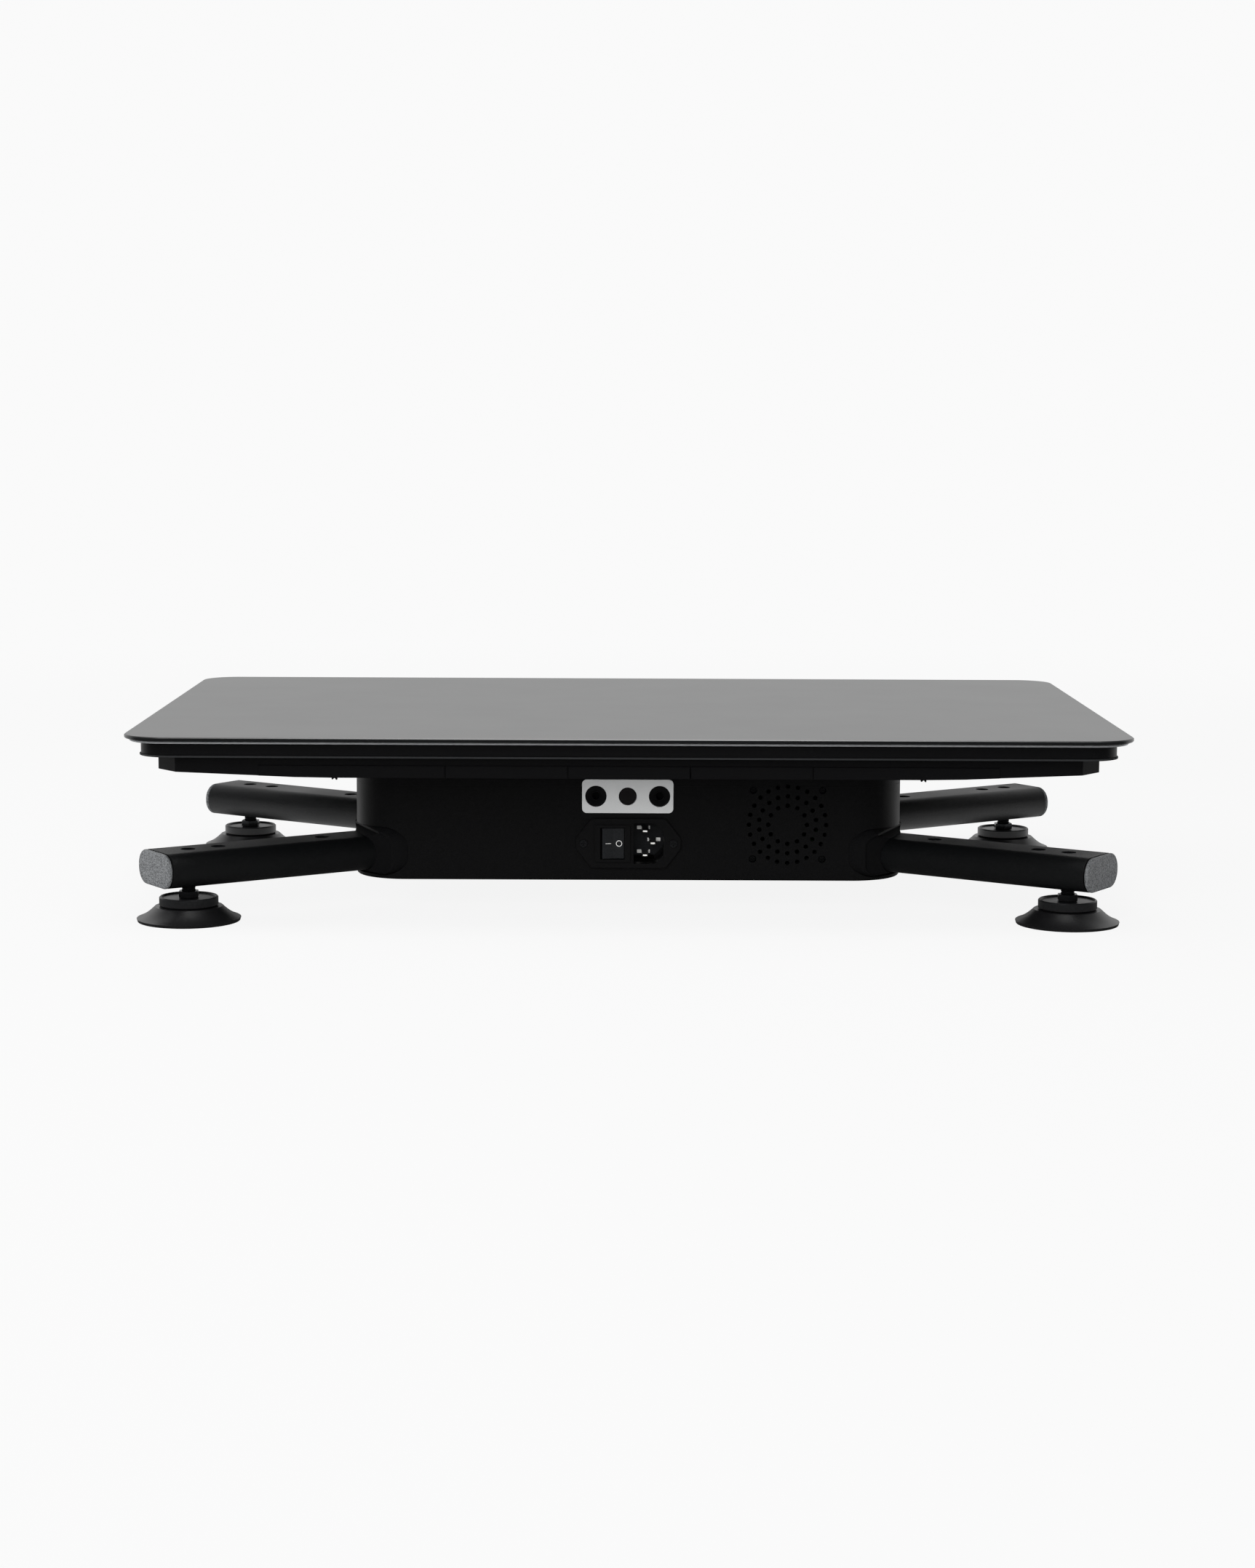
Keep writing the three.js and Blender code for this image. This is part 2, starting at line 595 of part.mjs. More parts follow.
function legs() {
  for (const corner of CORNERS) {
    const frame = cornerFrame(corner);
    piece(`leg_${corner.tag}`, leg(), "powderCoat", frame);
    piece(`leg_cap_${corner.tag}`, legCap(), "cap", frame);
    piece(`leg_grommet_${corner.tag}`, grommet(corner), "rubber");
  }
}

// Feet: each turns about its own stud

function suctionCup() {
  const inner = CUP_RADIUS - CUP_LIP;
  const profile = [
    [0, CUP_HOLLOW], [inner - CUP_HOLLOW, CUP_HOLLOW], [inner, 0], [CUP_RADIUS, 0], [CUP_RADIUS, CUP_RIM],
    [CUP_LEDGE_RADIUS, CUP_LEDGE_Z], [CUP_SOCKET_RADIUS, CUP_LEDGE_Z],
    [CUP_SOCKET_RADIUS, CUP_LEDGE_Z - CUP_SOCKET_DEPTH], [0, CUP_LEDGE_Z - CUP_SOCKET_DEPTH],
  ];
  return lathe(profile, ROUND_SIDES);
}

function lathe(profile, sides) {
  const points = profile.map(([r, z]) => new THREE.Vector2(r, z));
  return new THREE.LatheGeometry(points, sides).rotateX(Math.PI / 2);
}

function footDisc() {
  const bottom = CUP_LEDGE_Z + CLEAR;
  const boss = CUP_SOCKET_RADIUS - CLEAR;
  const body = solid(lathe([
    [0, CUP_LEDGE_Z - CUP_SOCKET_DEPTH + CLEAR], [boss, CUP_LEDGE_Z - CUP_SOCKET_DEPTH + CLEAR],
    [boss, bottom], [DISC_RADIUS, bottom], [DISC_RADIUS, DISC_TOP + DISC_RIM_HEIGHT],
    [DISC_RADIUS - DISC_RIM_WALL, DISC_TOP + DISC_RIM_HEIGHT], [DISC_RADIUS - DISC_RIM_WALL, DISC_TOP],
    [0, DISC_TOP],
  ], ROUND_SIDES));
  const seat = holeRadius(STUD_RADIUS, CLEAR);
  return body.subtract(solid(barZ(seat, 0, 0, DISC_TOP - STUD_SEAT - CLEAR, DISC_TOP + OVERRUN)));
}

function levellingStud() {
  const hexRadius = HEX_FLATS / 2 / Math.cos(Math.PI / HEX_SIDES);
  const hex = barZ(hexRadius, 0, 0, DISC_TOP + CLEAR, HEX_TOP, HEX_SIDES);
  return solid(barZ(STUD_RADIUS, 0, 0, DISC_TOP - STUD_SEAT, STUD_TOP)).add(solid(hex));
}

function feet() {
  for (const corner of CORNERS) {
    const foot = cornerFrame(corner);
    piece(`suction_cup_${corner.tag}`, suctionCup(), "rubber", foot);
    piece(`foot_disc_${corner.tag}`, footDisc(), "footPlastic", foot);
    piece(`levelling_stud_${corner.tag}`, levellingStud(), "blackScrew", foot);
  }
}

// Housing shell and base plate

function grilleHoles() {
  const holes = [];
  for (const { radius, count, turnShare } of GRILLE_RINGS) {
    for (let i = 0; i < count; i += 1) {
      const angle = ((i + turnShare) / count) * Math.PI * 2;
      holes.push([FAN_X + radius * Math.cos(angle), FAN_Z + radius * Math.sin(angle), GRILLE_HOLE_RADIUS]);
    }
  }
  const half = FAN_HOLE_PITCH / 2;
  for (const x of [-half, half]) {
    for (const z of [-half, half]) {
      holes.push([FAN_X + x, FAN_Z + z, FAN_HOLE_RADIUS]);
    }
  }
  return holes;
}

function housing() {
  const body = new THREE.ExtrudeGeometry(housingShape(-HOUSING_BEVEL), {
    depth: HOUSING_TOP - HOUSING_BOTTOM - 2 * HOUSING_BEVEL,
    bevelThickness: HOUSING_BEVEL,
    bevelSize: HOUSING_BEVEL,
    bevelSegments: 1,
    curveSegments: FINE_STEPS,
  }).translate(0, 0, HOUSING_BOTTOM + HOUSING_BEVEL);
  let shell = solid(body);
  shell = shell.subtract(solid(upright(housingShape(-HOUSING_WALL), HOUSING_BOTTOM - OVERRUN, CEILING,
    FINE_STEPS)));

  const ring = solid(upright(housingShape(OVERRUN), GROOVE_Z, GROOVE_Z + GROOVE_WIDTH, FINE_STEPS));
  shell = shell.subtract(ring.subtract(solid(upright(housingShape(-GROOVE_DEPTH), GROOVE_Z - OVERRUN,
    GROOVE_Z + OVERRUN, FINE_STEPS))));

  for (const corner of CORNERS) {
    shell = shell.subtract(crossing(CLEAR, corner));
  }

  const behindWall = FACE_Y + HOUSING_WALL + OVERRUN;
  const inFront = FACE_Y - OVERRUN;
  const holes = grilleHoles().map(([x, z, radius]) =>
    solid(barY(radius, x, z, inFront, behindWall, SMALL_SIDES)));
  for (const x of [-SCREW_X, SCREW_X]) {
    holes.push(solid(barY(holeRadius(SCREW_SHANK_RADIUS, CLEAR, SMALL_SIDES), x, INLET_Z, inFront, behindWall,
      SMALL_SIDES)));
  }
  const bodyHalf = INLET_BODY_HALF + CLEAR;
  holes.push(solid(block(-INLET_BODY_X - CLEAR, INLET_BODY_X + CLEAR, inFront, behindWall,
    INLET_Z - bodyHalf, INLET_Z + bodyHalf)));
  const panelX = PANEL_WIDTH / 2 - PANEL_LEDGE + CLEAR;
  const panelZ = PANEL_HEIGHT / 2 - PANEL_LEDGE + CLEAR;
  holes.push(solid(block(PANEL_X - panelX, PANEL_X + panelX, inFront, behindWall,
    PANEL_Z - panelZ, PANEL_Z + panelZ)));

  const slotX = EAR_WIDTH / 2 + EAR_SLOT_MARGIN;
  const slotY = EAR_THICK / 2 + EAR_SLOT_MARGIN;
  for (const y of [-EAR_Y, EAR_Y]) {
    holes.push(solid(block(-slotX, slotX, y - slotY, y + slotY, CEILING - OVERRUN, HOUSING_TOP + OVERRUN)));
  }
  const yokeX = EAR_EYE_RADIUS + YOKE_SLOT_MARGIN;
  const yokeY = YOKE_HALF + YOKE_SLOT_MARGIN;
  holes.push(solid(block(DRIVE_X - yokeX, DRIVE_X + yokeX, -yokeY, yokeY, CEILING - OVERRUN,
    HOUSING_TOP + OVERRUN)));
  shell = shell.subtract(wasm.Manifold.union(holes));
  piece("housing_shell", shell, "housing");
}

function basePlate() {
  piece("base_plate", upright(housingShape(-HOUSING_WALL - CLEAR), HOUSING_BOTTOM, PLATE_TOP), "powderCoat");
}

// Inlet module with the rocker switch and the mains pins

const PINS = [
  { name: "inlet_pin_line", x: LINE_PIN_X, z: INLET_Z + LINE_PIN_PITCH / 2 },
  { name: "inlet_pin_neutral", x: LINE_PIN_X, z: INLET_Z - LINE_PIN_PITCH / 2 },
  { name: "inlet_pin_earth", x: EARTH_PIN_X, z: INLET_Z },
];

function powerInlet() {
  const flangeBack = FACE_Y - CLEAR;
  const flangeFront = flangeBack - FLANGE_THICK;
  const [top, bottom] = [INLET_Z + INLET_HALF_HEIGHT, INLET_Z - INLET_HALF_HEIGHT];
  const flange = outline([
    [INLET_TOP_X, top], [-INLET_TOP_X, top], [-INLET_END_X, INLET_Z + INLET_END_HALF],
    [-INLET_END_X, INLET_Z - INLET_END_HALF], [-INLET_TOP_X, bottom], [INLET_TOP_X, bottom],
    [INLET_END_X, INLET_Z - INLET_END_HALF], [INLET_END_X, INLET_Z + INLET_END_HALF],
  ]);
  let module = solid(through(flange, flangeFront, flangeBack));
  module = module.add(solid(block(-INLET_BODY_X, INLET_BODY_X, flangeFront + FLANGE_THICK / 2,
    flangeBack + INLET_BODY_DEPTH, INLET_Z - INLET_BODY_HALF, INLET_Z + INLET_BODY_HALF)));

  const cavityX = ROCKER_WIDTH / 2 + ROCKER_SIDE_GAP;
  const cavityZ = ROCKER_HEIGHT / 2 + CLEAR;
  const rimFront = flangeFront - ROCKER_RIM_HEIGHT;
  module = module.add(solid(block(ROCKER_X - cavityX - ROCKER_RIM_WALL, ROCKER_X + cavityX + ROCKER_RIM_WALL,
    rimFront, flangeBack, INLET_Z - cavityZ - ROCKER_RIM_WALL / 2, INLET_Z + cavityZ + ROCKER_RIM_WALL / 2)));
  module = module.subtract(solid(block(ROCKER_X - cavityX, ROCKER_X + cavityX, rimFront - OVERRUN,
    flangeFront + ROCKER_CAVITY_DEPTH, INLET_Z - cavityZ, INLET_Z + cavityZ)));

  const [high, low] = [INLET_Z + WELL_HALF_HEIGHT, INLET_Z - WELL_HALF_HEIGHT];
  const well = outline([
    [WELL_LEFT, high], [WELL_LEFT, low], [WELL_RIGHT - WELL_CHAMFER, low], [WELL_RIGHT, low + WELL_CHAMFER],
    [WELL_RIGHT, high - WELL_CHAMFER], [WELL_RIGHT - WELL_CHAMFER, high],
  ]);
  const wellFloor = flangeFront + WELL_DEPTH;
  module = module.subtract(solid(through(well, rimFront - OVERRUN, wellFloor)));
  for (const { x, z } of PINS) {
    const [w, t] = [PIN_WIDTH / 2 + CLEAR, PIN_THICK / 2 + CLEAR];
    module = module.subtract(solid(block(x - w, x + w, wellFloor - OVERRUN,
      flangeBack + INLET_BODY_DEPTH + OVERRUN, z - t, z + t)));
  }
  for (const x of [-SCREW_X, SCREW_X]) {
    module = module.subtract(solid(barY(holeRadius(SCREW_SHANK_RADIUS, CLEAR, SMALL_SIDES), x, INLET_Z,
      flangeFront - OVERRUN, flangeBack + OVERRUN, SMALL_SIDES)));
  }
  piece("power_inlet", module, "inletPlastic");

  for (const { name, x, z } of PINS) {
    const tip = wellFloor - PIN_LENGTH;
    const side = outline([
      [x - PIN_WIDTH / 2, wellFloor + PIN_TAIL + INLET_BODY_DEPTH - WELL_DEPTH],
      [x - PIN_WIDTH / 2, tip + PIN_TIP], [x - PIN_WIDTH / 2 + PIN_TIP, tip],
      [x + PIN_WIDTH / 2 - PIN_TIP, tip], [x + PIN_WIDTH / 2, tip + PIN_TIP],
      [x + PIN_WIDTH / 2, wellFloor + PIN_TAIL + INLET_BODY_DEPTH - WELL_DEPTH],
    ]);
    piece(name, upright(side, z - PIN_THICK / 2, z + PIN_THICK / 2), "nickel");
  }

  for (const [name, x] of [["inlet_screw_left", -SCREW_X], ["inlet_screw_right", SCREW_X]]) {
    const headBack = flangeFront - CLEAR;
    const headFront = headBack - SCREW_HEAD_HEIGHT;
    let screw = solid(barY(SCREW_HEAD_RADIUS, x, INLET_Z, headFront, headBack));
    screw = screw.add(solid(barY(SCREW_SHANK_RADIUS, x, INLET_Z, headBack - SCREW_HEAD_HEIGHT / 2,
      headBack + SCREW_LENGTH, SMALL_SIDES)));
    const [slot, reach] = [SCREW_CROSS_WIDTH / 2, SCREW_SHANK_RADIUS];
    for (const [dx, dz] of [[slot, reach], [reach, slot]]) {
      screw = screw.subtract(solid(block(x - dx, x + dx, headFront - OVERRUN, headFront + SCREW_CROSS_DEPTH,
        INLET_Z - dz, INLET_Z + dz)));
    }
    piece(name, screw, "blackScrew");
  }
}

// The rocker rests with its right-hand end pressed in, which is off.
function rocker() {
  const half = ROCKER_WIDTH / 2;
  const side = outline([
    [-half, -ROCKER_PROUD], [0, -ROCKER_DISH], [half, -ROCKER_PROUD], [half, 0],
    [half / 2, ROCKER_BACK], [-half / 2, ROCKER_BACK], [-half, 0],
  ]);
  const pivot = new THREE.Group();
  pivot.position.set(ROCKER_X, FACE_Y - CLEAR - FLANGE_THICK + ROCKER_PIVOT_DEPTH, INLET_Z);
  pivot.rotation.z = THREE.MathUtils.degToRad(ROCKER_THROW / 2);
  product.add(pivot);
  piece("rocker_button", upright(side, -ROCKER_HEIGHT / 2, ROCKER_HEIGHT / 2), "rockerPlastic", pivot);
}

// Socket panel, two sockets and the receiver window

function socketPanel() {
  const back = FACE_Y - CLEAR;
  const front = back - PANEL_PROUD;
  const plate = roundedRectangle(PANEL_WIDTH, PANEL_HEIGHT, PANEL_CORNER, PANEL_X, PANEL_Z);
  let panel = solid(through(plate, front, back));
  const [x, z] = [PANEL_WIDTH / 2 - PANEL_LEDGE, PANEL_HEIGHT / 2 - PANEL_LEDGE];
  panel = panel.add(solid(block(PANEL_X - x, PANEL_X + x, front + PANEL_PROUD / 2, back + PANEL_BLOCK,
    PANEL_Z - z, PANEL_Z + z)));
  const holes = [[-SOCKET_PITCH, SOCKET_RADIUS], [0, WINDOW_RADIUS], [SOCKET_PITCH, SOCKET_RADIUS]];
  for (const [dx, radius] of holes) {
    panel = panel.subtract(solid(barY(radius + CLEAR, PANEL_X + dx, PANEL_Z, front - OVERRUN,
      back + PANEL_BLOCK + OVERRUN)));
  }
  piece("socket_panel", panel, "panelWhite");

  for (const [name, dx] of [["socket_left", -SOCKET_PITCH], ["socket_right", SOCKET_PITCH]]) {
    const face = front + SOCKET_RECESS;
    let socket = solid(barY(SOCKET_RADIUS, PANEL_X + dx, PANEL_Z, face, face + SOCKET_LENGTH));
    socket = socket.subtract(solid(barY(SOCKET_RING_RADIUS, PANEL_X + dx, PANEL_Z, face - OVERRUN,
      face + SOCKET_RING_DEPTH, SMALL_SIDES)));
    piece(name, socket, "socketPlastic");
  }
  const face = front + WINDOW_RECESS;
  piece("receiver_window", barY(WINDOW_RADIUS, PANEL_X, PANEL_Z, face, face + WINDOW_LENGTH), "windowTint");
}

// Cooling fan behind the grille

function fan() {
  const front = FACE_Y + HOUSING_WALL + CLEAR;
  const back = front + FAN_THICK;
  const spiderFront = back - FAN_SPIDER_THICK;
  const half = FAN_SIZE / 2;
  let frame = solid(block(FAN_X - half, FAN_X + half, front, back, FAN_Z - half, FAN_Z + half));
  frame = frame.subtract(solid(barY(FAN_BORE_RADIUS, FAN_X, FAN_Z, front - OVERRUN, back + OVERRUN,
    ROUND_SIDES)));
  const arm = FAN_ARM_WIDTH / 2;
  frame = frame.add(solid(block(FAN_X - half, FAN_X + half, spiderFront, back, FAN_Z - arm, FAN_Z + arm)));
  frame = frame.add(solid(block(FAN_X - arm, FAN_X + arm, spiderFront, back, FAN_Z - half, FAN_Z + half)));
  frame = frame.add(solid(barY(FAN_HUB_RADIUS, FAN_X, FAN_Z, spiderFront, back)));
  frame = frame.subtract(solid(barY(holeRadius(FAN_SHAFT_RADIUS, RUN, SMALL_SIDES), FAN_X, FAN_Z,
    spiderFront - OVERRUN, back + OVERRUN, SMALL_SIDES)));
  const holes = grilleHoles().filter(([, , radius]) => radius === FAN_HOLE_RADIUS);
  for (const [x, z, radius] of holes) {
    frame = frame.subtract(solid(barY(radius, x, z, front - OVERRUN, back + OVERRUN, SMALL_SIDES)));
  }
  piece("fan_frame", frame, "fanPlastic");

  const rotorBack = spiderFront - FAN_SPIDER_THICK / 2;
  const chordRoom = FAN_CHORD * Math.cos(THREE.MathUtils.degToRad(FAN_PITCH));
  const rotorFront = rotorBack - chordRoom - FAN_BLADE_THICK;
  const middle = (rotorFront + rotorBack) / 2;
  let rotor = solid(barY(FAN_HUB_RADIUS, FAN_X, FAN_Z, rotorFront, rotorBack));
  rotor = rotor.add(solid(barY(FAN_SHAFT_RADIUS, FAN_X, FAN_Z, middle, back, SMALL_SIDES)));
  const root = FAN_HUB_RADIUS / 2;
  for (let i = 0; i < FAN_BLADES; i += 1) {
    const blade = new THREE.BoxGeometry(FAN_TIP_RADIUS - root, FAN_CHORD, FAN_BLADE_THICK);
    blade.rotateX(THREE.MathUtils.degToRad(FAN_PITCH));
    blade.translate((FAN_TIP_RADIUS + root) / 2, 0, 0);
    blade.rotateY((i / FAN_BLADES) * Math.PI * 2);
    blade.translate(FAN_X, middle, FAN_Z);
    rotor = rotor.add(solid(blade));
  }
  piece("fan_rotor", rotor, "fanPlastic");
}

// Pillow blocks that stand on the base plate

function pillowBlock(name, x, y, z, width, radius, shaft) {
  const shape = new THREE.Shape();
  shape.moveTo(x - width / 2, FLOOR);
  shape.lineTo(x + width / 2, FLOOR);
  shape.lineTo(x + radius, z);
  shape.absarc(x, z, radius, 0, Math.PI);
  const [y0, y1] = [y - BEARING_THICK / 2, y + BEARING_THICK / 2];
  const bore = barY(holeRadius(shaft, RUN), x, z, y0 - OVERRUN, y1 + OVERRUN);
  piece(name, solid(through(shape, y0, y1)).subtract(solid(bore)), "castIron");
}

function bearings() {
  for (const [name, y] of [["pivot_bearing_front", -PIVOT_BEARING_Y], ["pivot_bearing_back", PIVOT_BEARING_Y]]) {
    pillowBlock(name, 0, y, PIVOT_Z, PIVOT_BEARING_WIDTH, PIVOT_BEARING_RADIUS, PIVOT_RADIUS);
  }
  for (const [name, y] of [["crank_bearing_front", CRANK_BEARING_FRONT_Y],
    ["crank_bearing_back", CRANK_BEARING_BACK_Y]]) {
    pillowBlock(name, CRANK_X, y, DRIVE_Z, CRANK_BEARING_WIDTH, CRANK_BEARING_RADIUS, CRANK_RADIUS);
  }
}

// Eccentric shaft, pulleys, belt, rod and motor

function pulley(radius, x, z, sides = ROUND_SIDES) {
  const [groove0, groove1] = [BELT_Y - BELT_WIDTH / 2, BELT_Y + BELT_WIDTH / 2];
  let wheel = solid(barY(radius, x, z, groove0 - PULLEY_FLANGE / 2, groove1 + PULLEY_FLANGE / 2, sides));
  for (const y of [groove0 - PULLEY_FLANGE, groove1]) {
    wheel = wheel.add(solid(barY(radius + PULLEY_FLANGE_OUT, x, z, y, y + PULLEY_FLANGE, sides)));
  }
  return wheel;
}

function crank() {
  let shaft = solid(barY(CRANK_RADIUS, CRANK_X, DRIVE_Z, CRANK_FRONT_Y, BACK_END_Y));
  shaft = shaft.add(solid(barY(ECCENTRIC_RADIUS, DRIVE_X, DRIVE_Z, -ECCENTRIC_THICK / 2, ECCENTRIC_THICK / 2,
    ROUND_SIDES)));
  piece("eccentric_shaft", shaft, "steel");
  const bore = barY(holeRadius(CRANK_RADIUS, CLEAR), CRANK_X, DRIVE_Z, 0, BACK_END_Y + OVERRUN);
  piece("crank_pulley", pulley(CRANK_PULLEY_RADIUS, CRANK_X, DRIVE_Z).subtract(solid(bore)), "motorSteel");
}

// The rod's upper eye leaves room for the pin through a full turn of the eccentric.
function connectingRod() {
  const rise = DRIVE_X * Math.tan(THREE.MathUtils.degToRad(ROCK_HALF_ANGLE));
  const eyeRadius = holeRadius(DRIVE_PIN_RADIUS, Math.hypot(2 * ECCENTRIC, rise) + CLEAR);
  const ringRadius = holeRadius(ECCENTRIC_RADIUS, RUN, ROUND_SIDES);
  const [y0, y1] = [-ROD_THICK / 2, ROD_THICK / 2];
  let rod = solid(barY(ringRadius + ROD_RING_WALL, DRIVE_X, DRIVE_Z, y0, y1, ROUND_SIDES));
  rod = rod.add(solid(barY(eyeRadius + ROD_EYE_WALL, DRIVE_X, DRIVE_PIN_Z, y0, y1)));
  rod = rod.add(solid(block(DRIVE_X - eyeRadius, DRIVE_X + eyeRadius, y0, y1, DRIVE_Z, DRIVE_PIN_Z)));
  rod = rod.subtract(solid(barY(ringRadius, DRIVE_X, DRIVE_Z, y0 - OVERRUN, y1 + OVERRUN, ROUND_SIDES)));
  rod = rod.subtract(solid(barY(eyeRadius, DRIVE_X, DRIVE_PIN_Z, y0 - OVERRUN, y1 + OVERRUN)));
  piece("connecting_rod", rod, "castIron");
}

function motor() {
  const half = MOTOR_FOOT_WIDTH / 2;
  let body = solid(barY(MOTOR_RADIUS, MOTOR_X, DRIVE_Z, MOTOR_FRONT_Y, MOTOR_BACK_Y, ROUND_SIDES));
  body = body.add(solid(block(MOTOR_X - half, MOTOR_X + half, MOTOR_FRONT_Y + MOTOR_FOOT_INSET,
    MOTOR_BACK_Y - MOTOR_FOOT_INSET, FLOOR, FLOOR + MOTOR_FOOT_HEIGHT)));
  body = body.subtract(solid(barY(holeRadius(MOTOR_SHAFT_RADIUS, RUN), MOTOR_X, DRIVE_Z,
    MOTOR_BACK_Y - MOTOR_SHAFT_IN - CLEAR, MOTOR_BACK_Y + OVERRUN)));
  piece("motor_body", body, "motorSteel");
  const rotor = solid(barY(MOTOR_SHAFT_RADIUS, MOTOR_X, DRIVE_Z, MOTOR_BACK_Y - MOTOR_SHAFT_IN, BACK_END_Y));
  piece("motor_pulley", rotor.add(pulley(MOTOR_PULLEY_RADIUS, MOTOR_X, DRIVE_Z, SHAFT_SIDES)), "steel");
}

// The belt's side view: two arcs joined by the pulleys' common tangents.
function beltOutline(grow) {
  const [big, small] = [CRANK_PULLEY_RADIUS + grow, MOTOR_PULLEY_RADIUS + grow];
  const lean = Math.asin((big - small) / (CRANK_X - MOTOR_X));
  const turn = Math.PI / 2 + lean;
  const shape = new THREE.Shape();
  shape.absarc(CRANK_X, DRIVE_Z, big, -turn, turn);
  shape.absarc(MOTOR_X, DRIVE_Z, small, turn, Math.PI * 2 - turn);
  return shape;
}

function belt() {
  const [y0, y1] = [BELT_Y - BELT_WIDTH / 2 + CLEAR, BELT_Y + BELT_WIDTH / 2 - CLEAR];
  const outer = solid(through(beltOutline(CLEAR + BELT_THICK), y0, y1, FINE_STEPS + CORNER_STEPS));
  const inner = solid(through(beltOutline(CLEAR), y0 - OVERRUN, y1 + OVERRUN, FINE_STEPS + CORNER_STEPS));
  piece("drive_belt", outer.subtract(inner), "belt");
}

// Control board on four posts

function controlBoard() {
  const [x0, x1] = [BOARD_X - BOARD_WIDTH / 2, BOARD_X + BOARD_WIDTH / 2];
  const [y0, y1] = [BOARD_Y - BOARD_DEPTH / 2, BOARD_Y + BOARD_DEPTH / 2];
  const low = FLOOR + BOARD_LIFT;
  const top = low + BOARD_THICK;
  const middle = (low + top) / 2;
  let board = solid(block(x0, x1, y0, y1, low, top));
  for (const x of [x0 + BOARD_POST_INSET, x1 - BOARD_POST_INSET]) {
    for (const y of [y0 + BOARD_POST_INSET, y1 - BOARD_POST_INSET]) {
      board = board.add(solid(barZ(BOARD_POST_RADIUS, x, y, FLOOR, middle, SMALL_SIDES)));
    }
  }
  board = board.add(solid(block(BOARD_X - COIL_SIZE / 2, BOARD_X + COIL_SIZE / 2, y0 + COIL_INSET,
    y0 + COIL_INSET + COIL_SIZE, middle, top + COIL_HEIGHT)));
  for (const y of [BOARD_Y + CAPACITOR_RADIUS, BOARD_Y + CAPACITOR_RADIUS + CAPACITOR_PITCH]) {
    board = board.add(solid(barZ(CAPACITOR_RADIUS, x0 + CAPACITOR_INSET, y, middle,
      top + CAPACITOR_HEIGHT)));
  }
  board = board.add(solid(block(x1 - SINK_INSET, x1 - SINK_INSET + SINK_THICK, BOARD_Y - SINK_LENGTH / 2,
    BOARD_Y + SINK_LENGTH / 2, middle, top + SINK_HEIGHT)));
  piece("control_board", board, "board");
}

basePlate();
housing();
legs();
feet();
bearings();
motor();
crank();
connectingRod();
belt();
controlBoard();
powerInlet();
rocker();
socketPanel();
fan();
deckGlass();
deckTrim();
upperPan();
lowerPan();
deckSteel();

export default product;
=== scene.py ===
# %% [markdown]
# A vibration plate, dressed for its portrait.
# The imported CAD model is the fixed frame: it says where every piece is and what moves. This script
# rebuilds the pieces that show with finer edges, gives each one a finish that starts from the real
# material, and sets up the studio. All lengths are metres, +Z is up, and the sockets face -Y.

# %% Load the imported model
import json
import math

import bmesh
import bpy
from mathutils import Matrix, Vector


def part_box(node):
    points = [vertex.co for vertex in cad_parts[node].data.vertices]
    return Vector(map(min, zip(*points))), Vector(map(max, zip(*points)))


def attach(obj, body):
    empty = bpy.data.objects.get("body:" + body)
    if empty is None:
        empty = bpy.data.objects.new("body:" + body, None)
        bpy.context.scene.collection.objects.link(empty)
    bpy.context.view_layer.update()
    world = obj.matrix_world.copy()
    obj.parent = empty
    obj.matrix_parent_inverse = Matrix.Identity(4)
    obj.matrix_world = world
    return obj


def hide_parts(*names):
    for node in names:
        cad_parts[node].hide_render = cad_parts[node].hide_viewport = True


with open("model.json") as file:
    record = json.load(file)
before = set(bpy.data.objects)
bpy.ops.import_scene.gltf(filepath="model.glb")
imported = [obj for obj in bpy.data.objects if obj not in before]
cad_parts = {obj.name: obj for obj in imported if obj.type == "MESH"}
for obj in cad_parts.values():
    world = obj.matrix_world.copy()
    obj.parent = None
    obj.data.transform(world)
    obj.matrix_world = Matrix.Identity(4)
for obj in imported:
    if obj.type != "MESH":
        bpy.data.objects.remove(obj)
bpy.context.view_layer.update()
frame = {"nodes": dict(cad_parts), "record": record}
MM = 0.001

# %% [markdown]
# Places come from the frame. A node's box gives its lowest and highest corner, so a piece that is
# rebuilt here starts from the same faces as the solid that it stands for. What a box can't say,
# such as a corner's radius, is a named size in millimetres.

# %% Places taken from the frame
glass_low, glass_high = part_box("deck_glass")
trim_low, trim_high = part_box("deck_edge_trim")
upper_low, upper_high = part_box("upper_pan")
lower_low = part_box("lower_pan")[0]
cover_low, cover_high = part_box("housing_shell")
panel_low, panel_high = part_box("socket_panel")
inlet_low, inlet_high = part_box("power_inlet")
CORNERS = ["front_left", "front_right", "back_left", "back_right"]
FACE_Y = cover_low.y
print("deck", [round(v / MM) for v in glass_high - glass_low], "mm")

# %% [markdown]
# A camera first, because it decides what shows. The photograph was taken with a long lens from
# just above the deck: the vanishing lines of the deck's ends, the spread of the four feet and the
# size of the mains inlet together fix the distance, the height and the tilt.

# %% Camera at the photograph's viewing angle
PHOTO_HEIGHT = 2156
FOCAL_PIXELS = 4019.3
CAMERA_PLACE = Vector((-6.85, -1767.97, 291.94)) * MM
PITCH, YAW, ROLL = 0.1304, 0.0037, -0.0046

